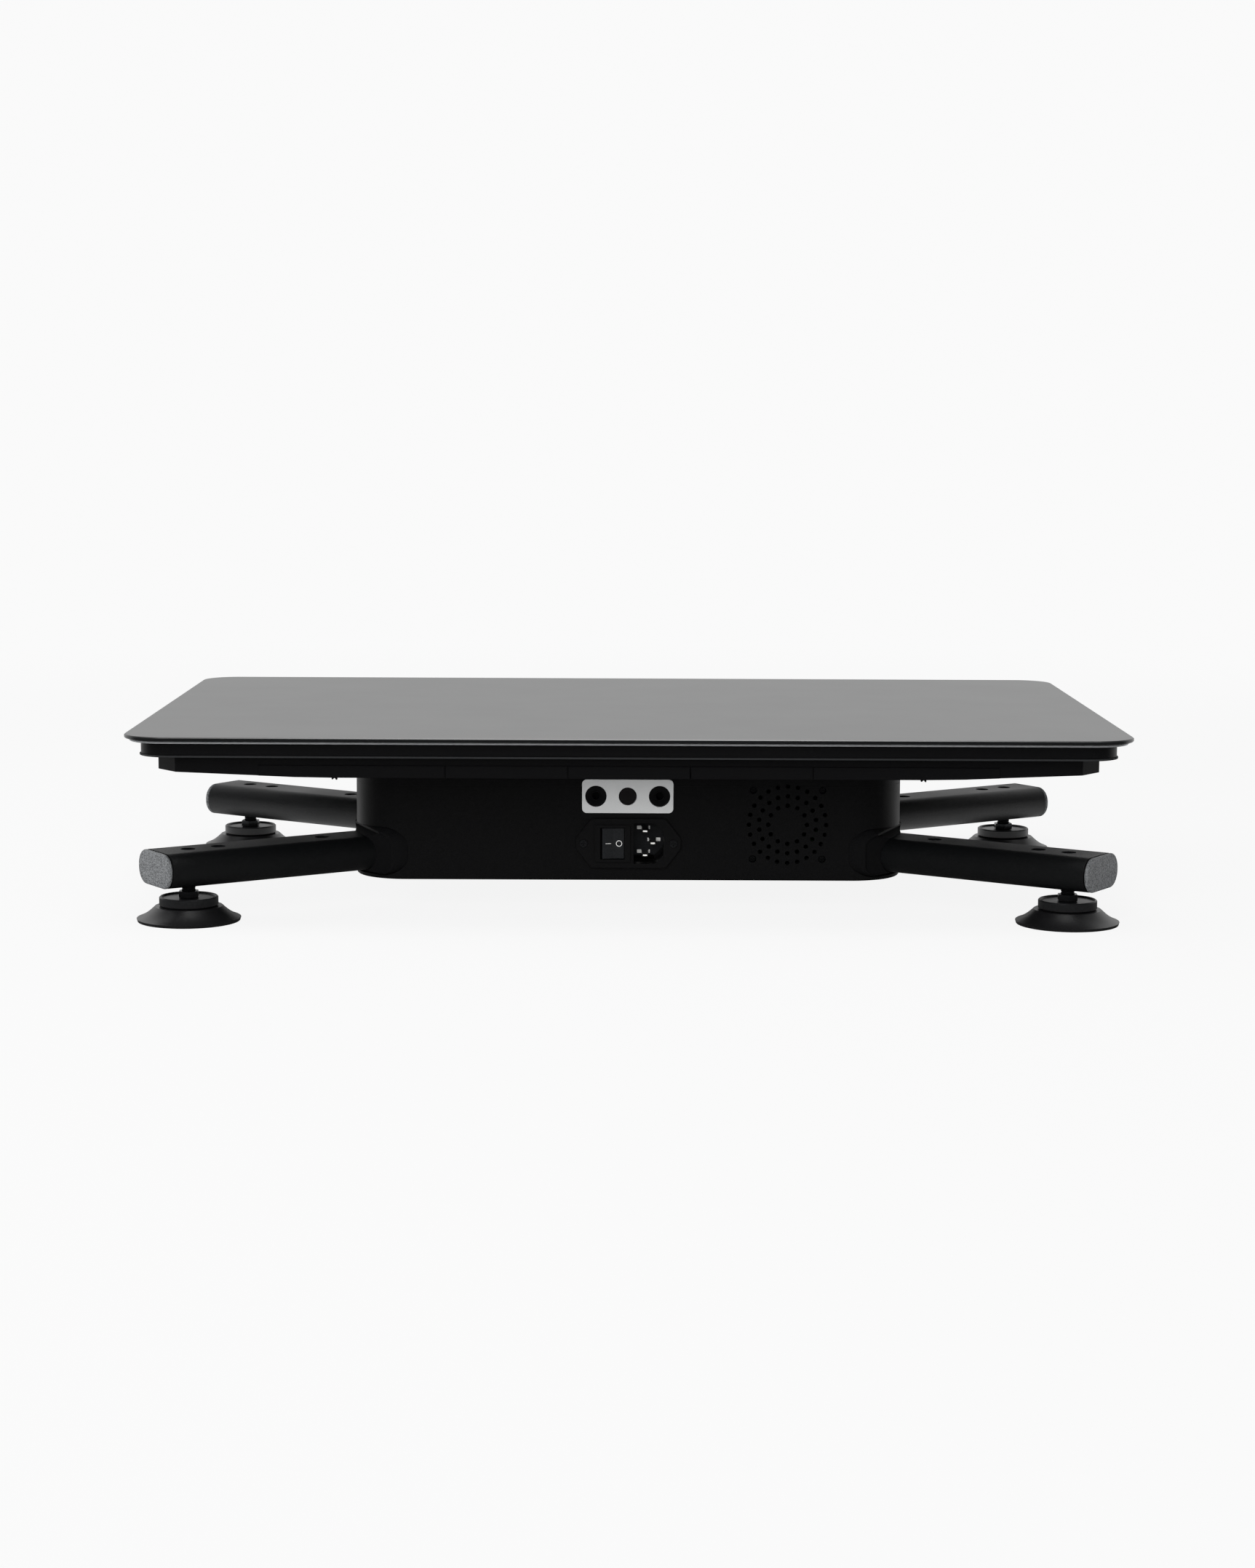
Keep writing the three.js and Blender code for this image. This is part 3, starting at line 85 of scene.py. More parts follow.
camera = bpy.data.objects.new("camera", bpy.data.cameras.new("camera"))
bpy.context.scene.collection.objects.link(camera)
bpy.context.scene.camera = camera
camera.data.lens = camera.data.sensor_width * FOCAL_PIXELS / PHOTO_HEIGHT
camera.data.clip_start = 0.01
ahead = Vector((math.sin(YAW) * math.cos(PITCH), math.cos(YAW) * math.cos(PITCH), -math.sin(PITCH)))
level = Vector((math.cos(YAW), -math.sin(YAW), 0))
down = ahead.cross(level)
right = math.cos(ROLL) * level + math.sin(ROLL) * down
up = math.sin(ROLL) * level - math.cos(ROLL) * down
turn = Matrix((right, up, -ahead)).transposed().to_4x4()
camera.matrix_world = Matrix.Translation(CAMERA_PLACE) @ turn
print("lens", round(camera.data.lens, 1), "mm")

# %% [markdown]
# A handful of helpers carries the whole object. A plate starts as one flat face whose corners are
# rounded and which is then raised, a turned piece is a spun profile, and a hole is carved with a
# Boolean. Most visible edges then get a small round, because a moulded or folded edge is never
# perfectly sharp and the thin highlight on it is what makes a piece look real.

# %% Helpers that shape a bmesh
ROUND_STEPS = 72
MERGE = 0.001 * MM
OVERRUN = 2 * MM
LIES_FRONT = Matrix(((1, 0, 0), (0, 0, -1), (0, 1, 0))).to_4x4()  # drawn in X and Z, raised towards -Y
LIES_ALONG = Matrix(((0, 0, 1), (1, 0, 0), (0, 1, 0))).to_4x4()  # drawn in Y and Z, raised towards +X


def moved(bm, matrix):
    """Moves or turns a whole bmesh, and turns its faces out again."""
    bmesh.ops.transform(bm, matrix=matrix, verts=bm.verts)
    bmesh.ops.recalc_face_normals(bm, faces=bm.faces)
    return bm


def shifted(bm, x=0.0, y=0.0, z=0.0):
    return moved(bm, Matrix.Translation((x, y, z)))


def raised(bm, faces, height):
    """Extrudes flat faces upwards and returns their raised copies."""
    made = bmesh.ops.extrude_face_region(bm, geom=faces)["geom"]
    verts = [item for item in made if isinstance(item, bmesh.types.BMVert)]
    bmesh.ops.translate(bm, verts=verts, vec=(0, 0, height))
    return [item for item in made if isinstance(item, bmesh.types.BMFace)]


def flat_outline(points, corner=0.0, steps=10):
    """One face through a few points, with every corner rounded if a radius is given."""
    bm = bmesh.new()
    bm.faces.new([bm.verts.new((x, y, 0)) for x, y in points])
    if corner:
        bmesh.ops.bevel(bm, geom=bm.verts[:], offset=corner, segments=steps, profile=0.5,
                        affect="VERTICES", material=-1, clamp_overlap=True)
    return bm


def rectangle(half_x, half_y, x=0.0, y=0.0):
    return [(x - half_x, y - half_y), (x + half_x, y - half_y),
            (x + half_x, y + half_y), (x - half_x, y + half_y)]


def slab(points, low, high, corner=0.0, steps=10):
    """A plate with the outline of the points, from low to high."""
    bm = flat_outline(points, corner, steps)
    raised(bm, bm.faces[:], high - low)
    return shifted(bm, z=low)


def softened(bm, width, angle=40, steps=3, chosen=None):
    """Rounds the edges where two faces meet at more than an angle, or only those that are chosen."""
    bm.normal_update()
    limit = math.radians(angle)
    edges = [e for e in bm.edges if len(e.link_faces) == 2 and e.calc_face_angle() > limit
             and (chosen is None or chosen(e))]
    bmesh.ops.bevel(bm, geom=edges, offset=width, offset_type="OFFSET", segments=steps, profile=0.5,
                    affect="EDGES", clamp_overlap=True, material=-1)
    return bm


def turned(profile, steps=ROUND_STEPS):
    """Spins a profile of radius and height once round Z."""
    bm = bmesh.new()
    verts = [bm.verts.new((radius, 0, height)) for radius, height in profile]
    edges = [bm.edges.new(pair) for pair in zip(verts, verts[1:])]
    bmesh.ops.spin(bm, geom=verts + edges, cent=(0, 0, 0), axis=(0, 0, 1), angle=math.tau,
                   steps=steps, use_merge=True)
    bmesh.ops.remove_doubles(bm, verts=bm.verts, dist=MERGE)
    bmesh.ops.recalc_face_normals(bm, faces=bm.faces)
    return bm


def rod(radius, low, high, steps=ROUND_STEPS):
    return turned([(0, low), (radius, low), (radius, high), (0, high)], steps)


def joined(*parts):
    """Puts several bmeshes into one, as separate shells."""
    whole = parts[0]
    for part in parts[1:]:
        mesh = bpy.data.meshes.new("part")
        part.to_mesh(mesh)
        part.free()
        whole.from_mesh(mesh)
        bpy.data.meshes.remove(mesh)
    return whole


def carved(blank, tool, operation="DIFFERENCE"):
    """Cuts, joins or crosses two bmeshes with an exact Boolean and returns the result."""
    pair = []
    for bm in (blank, tool):
        obj = bpy.data.objects.new("carving", bpy.data.meshes.new("carving"))
        bm.to_mesh(obj.data)
        bm.free()
        bpy.context.scene.collection.objects.link(obj)
        pair.append(obj)
    cut = pair[0].modifiers.new("cut", "BOOLEAN")
    cut.solver = "EXACT"
    cut.operation = operation
    cut.object = pair[1]
    result = bmesh.new()
    result.from_object(pair[0], bpy.context.evaluated_depsgraph_get())
    for obj in pair:
        mesh = obj.data
        bpy.data.objects.remove(obj)
        bpy.data.meshes.remove(mesh)
    bmesh.ops.remove_doubles(result, verts=result.verts, dist=MERGE)
    bmesh.ops.dissolve_degenerate(result, edges=result.edges, dist=MERGE)
    return result


def copied(node):
    """A bmesh of a CAD node with its loose triangles merged into flat faces."""
    bm = bmesh.new()
    bm.from_mesh(frame["nodes"][node].data)
    bmesh.ops.remove_doubles(bm, verts=bm.verts, dist=MERGE)
    bmesh.ops.dissolve_limit(bm, angle_limit=math.radians(1), verts=bm.verts, edges=bm.edges)
    return bm


def dressed(name, bm, material, body, slot, *nodes, smooth_angle=32):
    """Makes a bmesh a named piece that rides on a body and stands for the named CAD nodes."""
    bmesh.ops.recalc_face_normals(bm, faces=bm.faces)
    mesh = bpy.data.meshes.new(name)
    bm.to_mesh(mesh)
    bm.free()
    mesh.polygons.foreach_set("use_smooth", [True] * len(mesh.polygons))
    mesh.set_sharp_from_angle(angle=math.radians(smooth_angle))
    mesh.materials.append(material)
    piece = bpy.data.objects.new(name, mesh)
    bpy.context.scene.collection.objects.link(piece)
    piece.modifiers.new("flat_faces_shade_flat", "WEIGHTED_NORMAL").keep_sharp = True
    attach(piece, body)
    if nodes:
        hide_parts(*nodes)
    return piece


# %% [markdown]
# Every finish here is one Principled shader with patterns on object coordinates, so a grain keeps
# its real size whatever it covers. The fine pattern is the mould's or the paint's own texture; the
# slow clouds under it vary the gloss the way handling and uneven moulding do.

# %% Helpers that mix a finish
CLOUD_SIZE = 45


def linear(colour):
    """An sRGB hex colour as the linear colour that Blender's sockets take."""
    shares = [int(colour[i:i + 2], 16) / 255 for i in (1, 3, 5)]
    return [s / 12.92 if s <= 0.04045 else ((s + 0.055) / 1.055) ** 2.4 for s in shares] + [1]


def add(tree, kind, inputs=None, **settings):
    """Adds a node, sets its properties, and fills or links its sockets."""
    made = tree.nodes.new(kind)
    for key, value in settings.items():
        setattr(made, key, value)
    for key, value in (inputs or {}).items():
        if isinstance(value, bpy.types.NodeSocket):
            tree.links.new(value, made.inputs[key])
        else:
            made.inputs[key].default_value = value
    return made


def finish(name, light, dark, grain, relief, roughness, stretch=(1, 1, 1), **sockets):
    """A finish whose colour and relief follow a fine grain, and whose gloss follows slow clouds.

    The grain and the relief are millimetres, and roughness is a pair, least and most."""
    material = bpy.data.materials.new(name)
    material.use_nodes = True
    tree = material.node_tree
    shader = tree.nodes["Principled BSDF"]
    place = add(tree, "ShaderNodeTexCoord")
    laid = add(tree, "ShaderNodeMapping", {"Vector": place.outputs["Object"], "Scale": stretch})
    fine = add(tree, "ShaderNodeTexNoise", {
        "Vector": laid.outputs["Vector"], "Scale": 1 / (grain * MM), "Detail": 3.0, "Roughness": 0.6})
    clouds = add(tree, "ShaderNodeTexNoise", {
        "Vector": place.outputs["Object"], "Scale": 1 / (CLOUD_SIZE * MM), "Detail": 2.0})
    spread = add(tree, "ShaderNodeMapRange", {
        "Value": fine.outputs["Fac"], "From Min": 0.3, "From Max": 0.7})
    tint = add(tree, "ShaderNodeMix", {
        0: spread.outputs["Result"], 6: linear(dark), 7: linear(light)}, data_type="RGBA")
    gloss = add(tree, "ShaderNodeMapRange", {
        "Value": clouds.outputs["Fac"], "From Min": 0.3, "From Max": 0.7,
        "To Min": roughness[0], "To Max": roughness[1]})
    bump = add(tree, "ShaderNodeBump", {"Height": fine.outputs["Fac"], "Distance": relief * MM})
    tree.links.new(tint.outputs[2], shader.inputs["Base Color"])
    tree.links.new(gloss.outputs["Result"], shader.inputs["Roughness"])
    tree.links.new(bump.outputs["Normal"], shader.inputs["Normal"])
    for socket, value in sockets.items():
        shader.inputs[socket.replace("_", " ")].default_value = value
    return material


# %% [markdown]
# The deck's top is toughened glass, painted black on its back and etched to a satin on its face so
# that bare feet don't slip. At this low angle it shows the pale backdrop as one even grey. The strip
# under its edge is anodised aluminium. Its thick matt oxide scatters about half of the light, so it is
# less than fully metallic here, with faint streaks along the deck's length.

# %% Glass and metals
glass = finish("satin_etched_glass_backed_black", "#0E0F10", "#0B0C0D", 0.9, 0.006, (0.275, 0.285),
               IOR=1.52)
aluminium = finish("satin_anodised_aluminium_strip", "#A4A6A8", "#8E9092", 0.5, 0.01, (0.4, 0.5),
                   stretch=(0.2, 1, 1), Metallic=0.6)
steel = finish("turned_zinc_plated_steel", "#9A9DA0", "#7C7F82", 0.35, 0.02, (0.25, 0.4), Metallic=1.0)
nickel = finish("nickel_plated_brass", "#C9C7C2", "#B4B2AD", 0.3, 0.005, (0.08, 0.14), Metallic=1.0)
# Near-white matt: it paints the glints of light at the mains pins' tips and beside them.
pin_glint_white = finish("painted_pin_glint_white", "#F8F8F6", "#EEEEEA", 0.3, 0.005, (0.4, 0.5), Metallic=0.3)
blackened = finish("blackened_screw_steel", "#3A3B3D", "#242526", 0.3, 0.02, (0.25, 0.36), Metallic=0.8)
black_oxide = finish("black_oxide_screw_steel", "#1C1D1E", "#121213", 0.3, 0.02, (0.4, 0.5),
                     Metallic=0.6)
grey_paint = finish("hammered_motor_paint", "#5C6063", "#4A4D50", 1.6, 0.12, (0.35, 0.5), Metallic=0.4)
cast_iron = finish("cast_iron_as_cast", "#4A4C4E", "#2E3032", 1.1, 0.18, (0.55, 0.72), Metallic=0.7)

# %% [markdown]
# The rest is black, and what tells one black from another is texture. The deck's trays and the
# cover are ABS from spark-eroded moulds, the legs are powder coated with a fine orange peel, the
# end caps are coarser polyethylene that catches the light in specks, and the cups are PVC rubber.
# A fine texture shadows its own mirror image when it is seen square on and hardly at all at a low
# angle, so these blacks have less specular than a polished plastic. Grains finer than about 0.4 mm
# can't show at this distance, so they are drawn at that size.

# %% Plastics, paint and rubber
MATT = 0.14
tray_abs = finish("abs_spark_eroded_satin", "#0C0C0D", "#080809", 0.5, 0.02, (0.36, 0.46),
                  Specular_IOR_Level=MATT)
cover_abs = finish("abs_spark_eroded_matt", "#0F0F10", "#090909", 0.7, 0.1, (0.4, 0.52),
                   Specular_IOR_Level=MATT)
powder = finish("powder_coat_orange_peel", "#0D0E0F", "#090A0B", 0.8, 0.22, (0.46, 0.56),
                Specular_IOR_Level=0.42)
cap_plastic = finish("polyethylene_coarse_texture", "#747678", "#202122", 0.8, 0.16, (0.5, 0.65))
rubber = finish("black_rubber", "#0F0F10", "#09090A", 0.6, 0.03, (0.62, 0.74), Specular_IOR_Level=MATT)
# Grey that paints the highlight line along the trays' lip.
lip_line_painted_highlight = finish("grey_painted_highlight_lip_line", "#28292A", "#1F2021", 0.6, 0.03, (0.6, 0.7),
                  Specular_IOR_Level=MATT)
cup_pvc = finish("pvc_suction_cup", "#151516", "#0D0D0E", 0.6, 0.04, (0.3, 0.42),
                 Specular_IOR_Level=0.45)
foot_abs = finish("abs_foot_disc", "#1A1B1C", "#101011", 0.6, 0.04, (0.34, 0.46),
                  Specular_IOR_Level=0.45)
panel_abs = finish("abs_light_grey", "#BFC0C0", "#B4B5B5", 0.5, 0.02, (0.45, 0.55))
inlet_nylon = finish("glass_filled_nylon_black", "#101011", "#0A0A0A", 0.5, 0.02, (0.34, 0.46),
                     Specular_IOR_Level=MATT)
rocker_nylon = finish("nylon_rocker_face", "#222325", "#151617", 0.5, 0.03, (0.3, 0.42),
                      Specular_IOR_Level=MATT)
socket_nylon = finish("nylon_socket_black", "#0D0D0E", "#080808", 0.5, 0.02, (0.25, 0.36),
                      Specular_IOR_Level=MATT)
infrared_acrylic = finish("infrared_acrylic_dark", "#110F10", "#0D0B0C", 0.8, 0.004, (0.1, 0.16),
                          Specular_IOR_Level=0.35)
fan_pbt = finish("pbt_fan_moulding", "#161718", "#101011", 0.6, 0.02, (0.4, 0.5))
belt_rubber = finish("ribbed_belt_rubber", "#1A1A1A", "#101010", 0.8, 0.05, (0.6, 0.75))
board_epoxy = finish("circuit_board_epoxy", "#21663C", "#164A2B", 1.2, 0.03, (0.35, 0.5))
white_ink = finish("pad_printed_white_ink", "#E4E4E2", "#D0D0CE", 0.4, 0.01, (0.5, 0.6))

SLOT_FINISHES = {
    "glass": glass, "trim": aluminium, "pan": tray_abs, "housing": cover_abs, "powder_coat": powder,
    "cap": cap_plastic, "rubber": rubber, "foot_plastic": foot_abs, "steel": steel, "nickel": nickel,
    "black_screw": blackened, "panel_white": panel_abs, "inlet_plastic": inlet_nylon,
    "rocker_plastic": rocker_nylon, "socket_plastic": socket_nylon, "window_tint": infrared_acrylic,
    "fan_plastic": fan_pbt, "motor_steel": grey_paint, "cast_iron": cast_iron, "belt": belt_rubber,
    "board": board_epoxy,
}
for subpart in frame["record"]["subparts"]:
    shown = frame["nodes"][subpart["node"]]
    for holder in shown.material_slots:
        holder.material = SLOT_FINISHES[subpart["material_slot"]]
print("finishes:", len(SLOT_FINISHES))

# %% [markdown]
# The deck's glass has its corners ground round and its sharp edges taken off by a narrow flat arris,
# which catches the light from above as one clear line. Under it the aluminium strip is a shallow
# bead.

# %% Glass plate and edge strip
DECK_CORNER = 22 * MM
GLASS_ARRIS = 0.55 * MM
STRIP_RIM = 0.65 * MM
DECK_STEPS = 14


def inset_corner(inset):
    """The corner radius of a deck layer that lies in from the glass's edge."""
    return DECK_CORNER - inset / 2


def deck_layer(low, high, rim, rim_steps):
    half = (high - low) / 2
    bm = slab(rectangle(half.x, half.y), low.z, high.z, inset_corner(glass_high.x - half.x),
              DECK_STEPS)
    return softened(bm, rim, angle=60, steps=rim_steps)


dressed("glass_plate", deck_layer(glass_low, glass_high, GLASS_ARRIS, 1), glass, "deck", "glass",
        "deck_glass")
dressed("edge_strip", deck_layer(trim_low, trim_high, STRIP_RIM, 4), aluminium, "deck", "trim",
        "deck_edge_trim")

# %% [markdown]
# Two moulded trays carry the glass. Between them a strip stands a little proud, and its grey is a
# painted highlight: the thin lighter line that light draws round the deck along the trays' lip. So it
# is a slab of its own and the upper tray is a smaller one that stands in it. The lower tray has flat
# faces and cut corners already, so a merged copy of its solid with rounded edges is enough. The
# narrow seams along its band stay sharp, so that they read as thin lines.

# %% Upper and lower tray
LIP_STRIP_HEIGHT = 1.1 * MM
LIP_STRIP_OUT = 0.7 * MM
TRAY_EDGE = 0.3 * MM
SEAMS_TO_X = 200 * MM
LONGER_THAN_SEAM = 15 * MM

lip_strip_half = (upper_high - upper_low) / 2
tray_half = lip_strip_half - Vector((LIP_STRIP_OUT, LIP_STRIP_OUT, 0))
corner = inset_corner(glass_high.x - lip_strip_half.x)
lip_strip_top = upper_low.z + LIP_STRIP_HEIGHT
# The proud strip whose grey paints the highlight line round the deck.
lip_strip = slab(rectangle(lip_strip_half.x, lip_strip_half.y), upper_low.z, lip_strip_top, corner, DECK_STEPS)
dressed("tray_lip_painted_highlight", softened(lip_strip, TRAY_EDGE, angle=60), lip_line_painted_highlight, "deck", "rubber")
tray = slab(rectangle(tray_half.x, tray_half.y), lip_strip_top, upper_high.z, corner - LIP_STRIP_OUT, DECK_STEPS)
dressed("upper_tray", softened(tray, TRAY_EDGE, angle=60), tray_abs, "deck", "pan", "upper_pan")


def off_seams(edge):
    """Whether an edge of the lower tray is none of its seams' own short edges."""
    middle_x = (edge.verts[0].co.x + edge.verts[1].co.x) / 2
    return abs(middle_x) > SEAMS_TO_X or edge.calc_length() > LONGER_THAN_SEAM


lower = softened(copied("lower_pan"), TRAY_EDGE, angle=12, steps=2, chosen=off_seams)
dressed("lower_tray", lower, tray_abs, "deck", "pan", "lower_pan")

# %% [markdown]
# The legs are flat-oval steel tubes that come out of the cover's corners through rubber grommets.
# All four are alike, so each is drawn once along +X with the middle of its foot at zero, and then
# turned and carried to its corner. The feet's places are read from the frame.

# %% Leg frames
LEG_SPLAY = math.radians(33.9)
LEG_HALF_WIDTH = 20.2 * MM
LEG_CORNER = 9.2 * MM
LEG_WALL = 2 * MM
LEG_INWARD = 133.8 * MM
LEG_OUTWARD = 18.5 * MM
CROSSING_SIDE = 13.7 * MM
CROSSING_CORNER = 10 * MM
CORNER_STEPS = 12

cap_low, cap_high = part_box("leg_cap_front_right")
crossing_low, crossing_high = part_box("leg_grommet_front_right")
leg_z = (cap_low.z + cap_high.z) / 2
leg_half_height = (cap_high.z - cap_low.z) / 2
print("leg height", round(2 * leg_half_height / MM, 1), "mm")


def corner_frame(corner):
    """Carries a piece from the origin to a foot's place and turns its +X outwards along the leg."""
    low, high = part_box(f"levelling_stud_{corner}")
    place = (low + high) / 2
    outward = math.atan2(math.copysign(math.sin(LEG_SPLAY), place.y),
                         math.copysign(math.cos(LEG_SPLAY), place.x))
    return Matrix.Translation((place.x, place.y, 0)) @ Matrix.Rotation(outward, 4, "Z")


frames = {corner: corner_frame(corner) for corner in CORNERS}


def leg_bar(start, end, grow=0.0):
    """A solid bar with the leg's oval section, along +X."""
    points = rectangle(LEG_HALF_WIDTH + grow, leg_half_height + grow, 0, leg_z)
    return moved(slab(points, start, end, LEG_CORNER + grow, CORNER_STEPS), LIES_ALONG)


def crossing_bar(grow=0.0):
    """A bar with the outline of the grommet's hole in the cover, from the foot to deep inside."""
    middle, half = (crossing_low.z + crossing_high.z) / 2, (crossing_high.z - crossing_low.z) / 2
    points = rectangle(LEG_HALF_WIDTH + CROSSING_SIDE + grow, half + grow, 0, middle)
    return moved(slab(points, -LEG_INWARD - 2 * LEG_HALF_WIDTH, LEG_OUTWARD, CROSSING_CORNER + grow,
                      CORNER_STEPS), LIES_ALONG)


# %% [markdown]
# The cover is one moulding: a hollow box with round corners, a shadow groove under its top edge,
# four holes for the legs, slots for what drives the deck, and a grille drilled in rings. It is
# carved in the order that a toolmaker would cut it, the big pockets first.

# %% Cover: the hollow box
COVER_CORNER = 30 * MM
COVER_WALL = 3 * MM
COVER_RIM = 1.5 * MM
COVER_STEPS = 24
GROOVE_Z = 71.8 * MM
GROOVE_WIDTH = 0.5 * MM
GROOVE_DEPTH = 0.12 * MM
cover_half = (cover_high - cover_low) / 2


def cover_slab(low, high, grow=0.0):
    points = rectangle(cover_half.x + grow, cover_half.y + grow)
    return slab(points, low, high, COVER_CORNER + grow, COVER_STEPS)


def cover_ring(low, high, outward, inward):
    """A closed frame that follows the cover's outline, from inward to outward of it."""
    outer = cover_slab(low, high, outward)
    return carved(outer, cover_slab(low - OVERRUN, high + OVERRUN, -inward))


body = softened(cover_slab(cover_low.z, cover_high.z), COVER_RIM, angle=60, steps=5)
pocket = cover_slab(cover_low.z - OVERRUN, cover_high.z - COVER_WALL, -COVER_WALL)
body = carved(body, pocket)
body = carved(body, cover_ring(GROOVE_Z, GROOVE_Z + GROOVE_WIDTH, OVERRUN, GROOVE_DEPTH))

# %% [markdown]
# The grille's holes stand in three rings of 24, 18 and 12 round the fan, with one hole at each of
# the fan's screws. Small cutters are gathered in one mesh, so that one Boolean drills them all.

# %% Cover: holes and slots
FAN_SCREW_PITCH = 40 * MM
FAN_SCREW_RADIUS = 2.15 * MM
GRILLE_RADIUS = 1.3 * MM
GRILLE_STEPS = 20
GRILLE_RINGS = [(22.3 * MM, 24, 0.0), (16.6 * MM, 18, 0.5), (11.1 * MM, 12, 0.0)]
PANEL_LEDGE = 2.1 * MM
EAR_ROOM = 3 * MM
YOKE_ROOM = 5 * MM
INLET_HALF_HEIGHT = 12.9 * MM
INLET_HALF_WIDTH = 21.7 * MM

fan_low, fan_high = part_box("fan_frame")
fan_x, fan_z = (fan_low.x + fan_high.x) / 2, (fan_low.z + fan_high.z) / 2
inlet_z = (inlet_low.z + inlet_high.z) / 2
drill_depth = COVER_WALL + 2 * OVERRUN


def facing_front(bm, x, z, y):
    """Lays a piece that was drawn flat on the front face, with its low side at y."""
    return shifted(moved(bm, LIES_FRONT), x, y, z)


def drill(radius, x, z, steps=GRILLE_STEPS):
    return facing_front(rod(radius, 0, drill_depth, steps), x, z, FACE_Y + COVER_WALL + OVERRUN)


def upright_cut(low, high, room):
    """A box round what passes the cover's top, with room on every side."""
    centre, half = (low + high) / 2, (high - low) / 2
    return slab(rectangle(half.x + room, half.y + room, centre.x, centre.y),
                cover_high.z - COVER_WALL - OVERRUN, cover_high.z + OVERRUN, room)


grille = [(r * math.cos(math.tau * (i + turn) / count), r * math.sin(math.tau * (i + turn) / count))
          for r, count, turn in GRILLE_RINGS for i in range(count)]
fan_screws = [(sx * FAN_SCREW_PITCH / 2, sz * FAN_SCREW_PITCH / 2) for sx in (-1, 1) for sz in (-1, 1)]
cutters = [drill(GRILLE_RADIUS, fan_x + x, fan_z + z) for x, z in grille]
cutters += [drill(FAN_SCREW_RADIUS, fan_x + x, fan_z + z) for x, z in fan_screws]
panel_centre, panel_half = (panel_low + panel_high) / 2, (panel_high - panel_low) / 2
for x, z, half_x, half_z in (
        (panel_centre.x, panel_centre.z, panel_half.x - PANEL_LEDGE, panel_half.z - PANEL_LEDGE),
        (0, inlet_z, INLET_HALF_WIDTH, INLET_HALF_HEIGHT)):
    opening = slab(rectangle(half_x, half_z), 0, drill_depth)
    cutters.append(facing_front(opening, x, z, FACE_Y + COVER_WALL + OVERRUN))
PASSING = (("pivot_ear_front", EAR_ROOM), ("pivot_ear_back", EAR_ROOM), ("drive_yoke", YOKE_ROOM))
for node, room in PASSING:
    cutters.append(upright_cut(*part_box(node), room))
body = carved(body, joined(*cutters))
GAP = 0.3 * MM
for corner in CORNERS:
    body = carved(body, moved(crossing_bar(GAP), frames[corner]))
print("cover:", len(body.faces), "faces")
dressed("cover", body, cover_abs, "base", "housing", "housing_shell")

# %% [markdown]
# Each leg: the tube with its three holes, the plastic cap pushed into its end, and the grommet that
# seals it to the cover. The grommet's rim stands a little proud of the cover and slopes away from
# the leg, with a sunk face inside it. It follows the cover round the corner, so it is a loft: each
# point of its outline runs along the leg's direction until it is the wanted distance from the cover.

# %% Tubes, caps and grommets
LEG_HOLE_RADIUS = 4.2 * MM
LEG_HOLES_INWARD = [0, 18.8 * MM, 85 * MM]
HOLE_STEPS = 40
CAP_THICK = 2.5 * MM
CAP_EDGE = 1.1 * MM
CAP_PLUG = 12 * MM
GROMMET_IN = 2.8 * MM
GROMMET_OUT = 2.8 * MM
GROMMET_LOW = 0.4 * MM
GROMMET_FACE = 1.2 * MM
GROMMET_SLOPE = 2.2 * MM
GROMMET_RIM = 3.5 * MM
HALVINGS = 24


def tube():
    bar = leg_bar(-LEG_INWARD, LEG_OUTWARD)
    bar = carved(bar, leg_bar(-LEG_INWARD - OVERRUN, LEG_OUTWARD + OVERRUN, -LEG_WALL))
    holes = [shifted(rod(LEG_HOLE_RADIUS, leg_z, leg_z + 2 * leg_half_height, HOLE_STEPS), -inward)
             for inward in LEG_HOLES_INWARD]
    holes.append(rod(LEG_HOLE_RADIUS, leg_z - 2 * leg_half_height, leg_z - LEG_WALL, HOLE_STEPS))
    return carved(bar, joined(*holes))


def end_cap():
    seat = LEG_OUTWARD + GAP
    plate = softened(leg_bar(seat, seat + CAP_THICK), CAP_EDGE, angle=60, steps=4)
    return joined(plate, leg_bar(LEG_OUTWARD - CAP_PLUG, seat, -LEG_WALL - GAP))


def beyond_cover(point):
    """How far a point in plan lies outside the cover's outline, negative inside."""
    x = abs(point.x) - cover_half.x + COVER_CORNER
    y = abs(point.y) - cover_half.y + COVER_CORNER
    return math.hypot(max(x, 0), max(y, 0)) + min(max(x, y), 0) - COVER_CORNER


def on_cover(frame_matrix, across, height, outward):
    """The point of a line along the leg that is a distance outward of the cover."""
    inner, outer = -LEG_INWARD, LEG_OUTWARD
    for _ in range(HALVINGS):
        along = (inner + outer) / 2
        if beyond_cover(frame_matrix @ Vector((along, across, height))) < outward:
            inner = along
        else:
            outer = along
    return frame_matrix @ Vector((inner, across, height))


def oval(half_width, low, high, corner):
    """The points of a rounded outline in the leg's own Y and Z, in order."""
    bm = flat_outline(rectangle(half_width, (high - low) / 2, 0, (low + high) / 2), corner, CORNER_STEPS)
    points = [loop.vert.co.xy.copy() for face in bm.faces for loop in face.loops]
    bm.free()
    return points


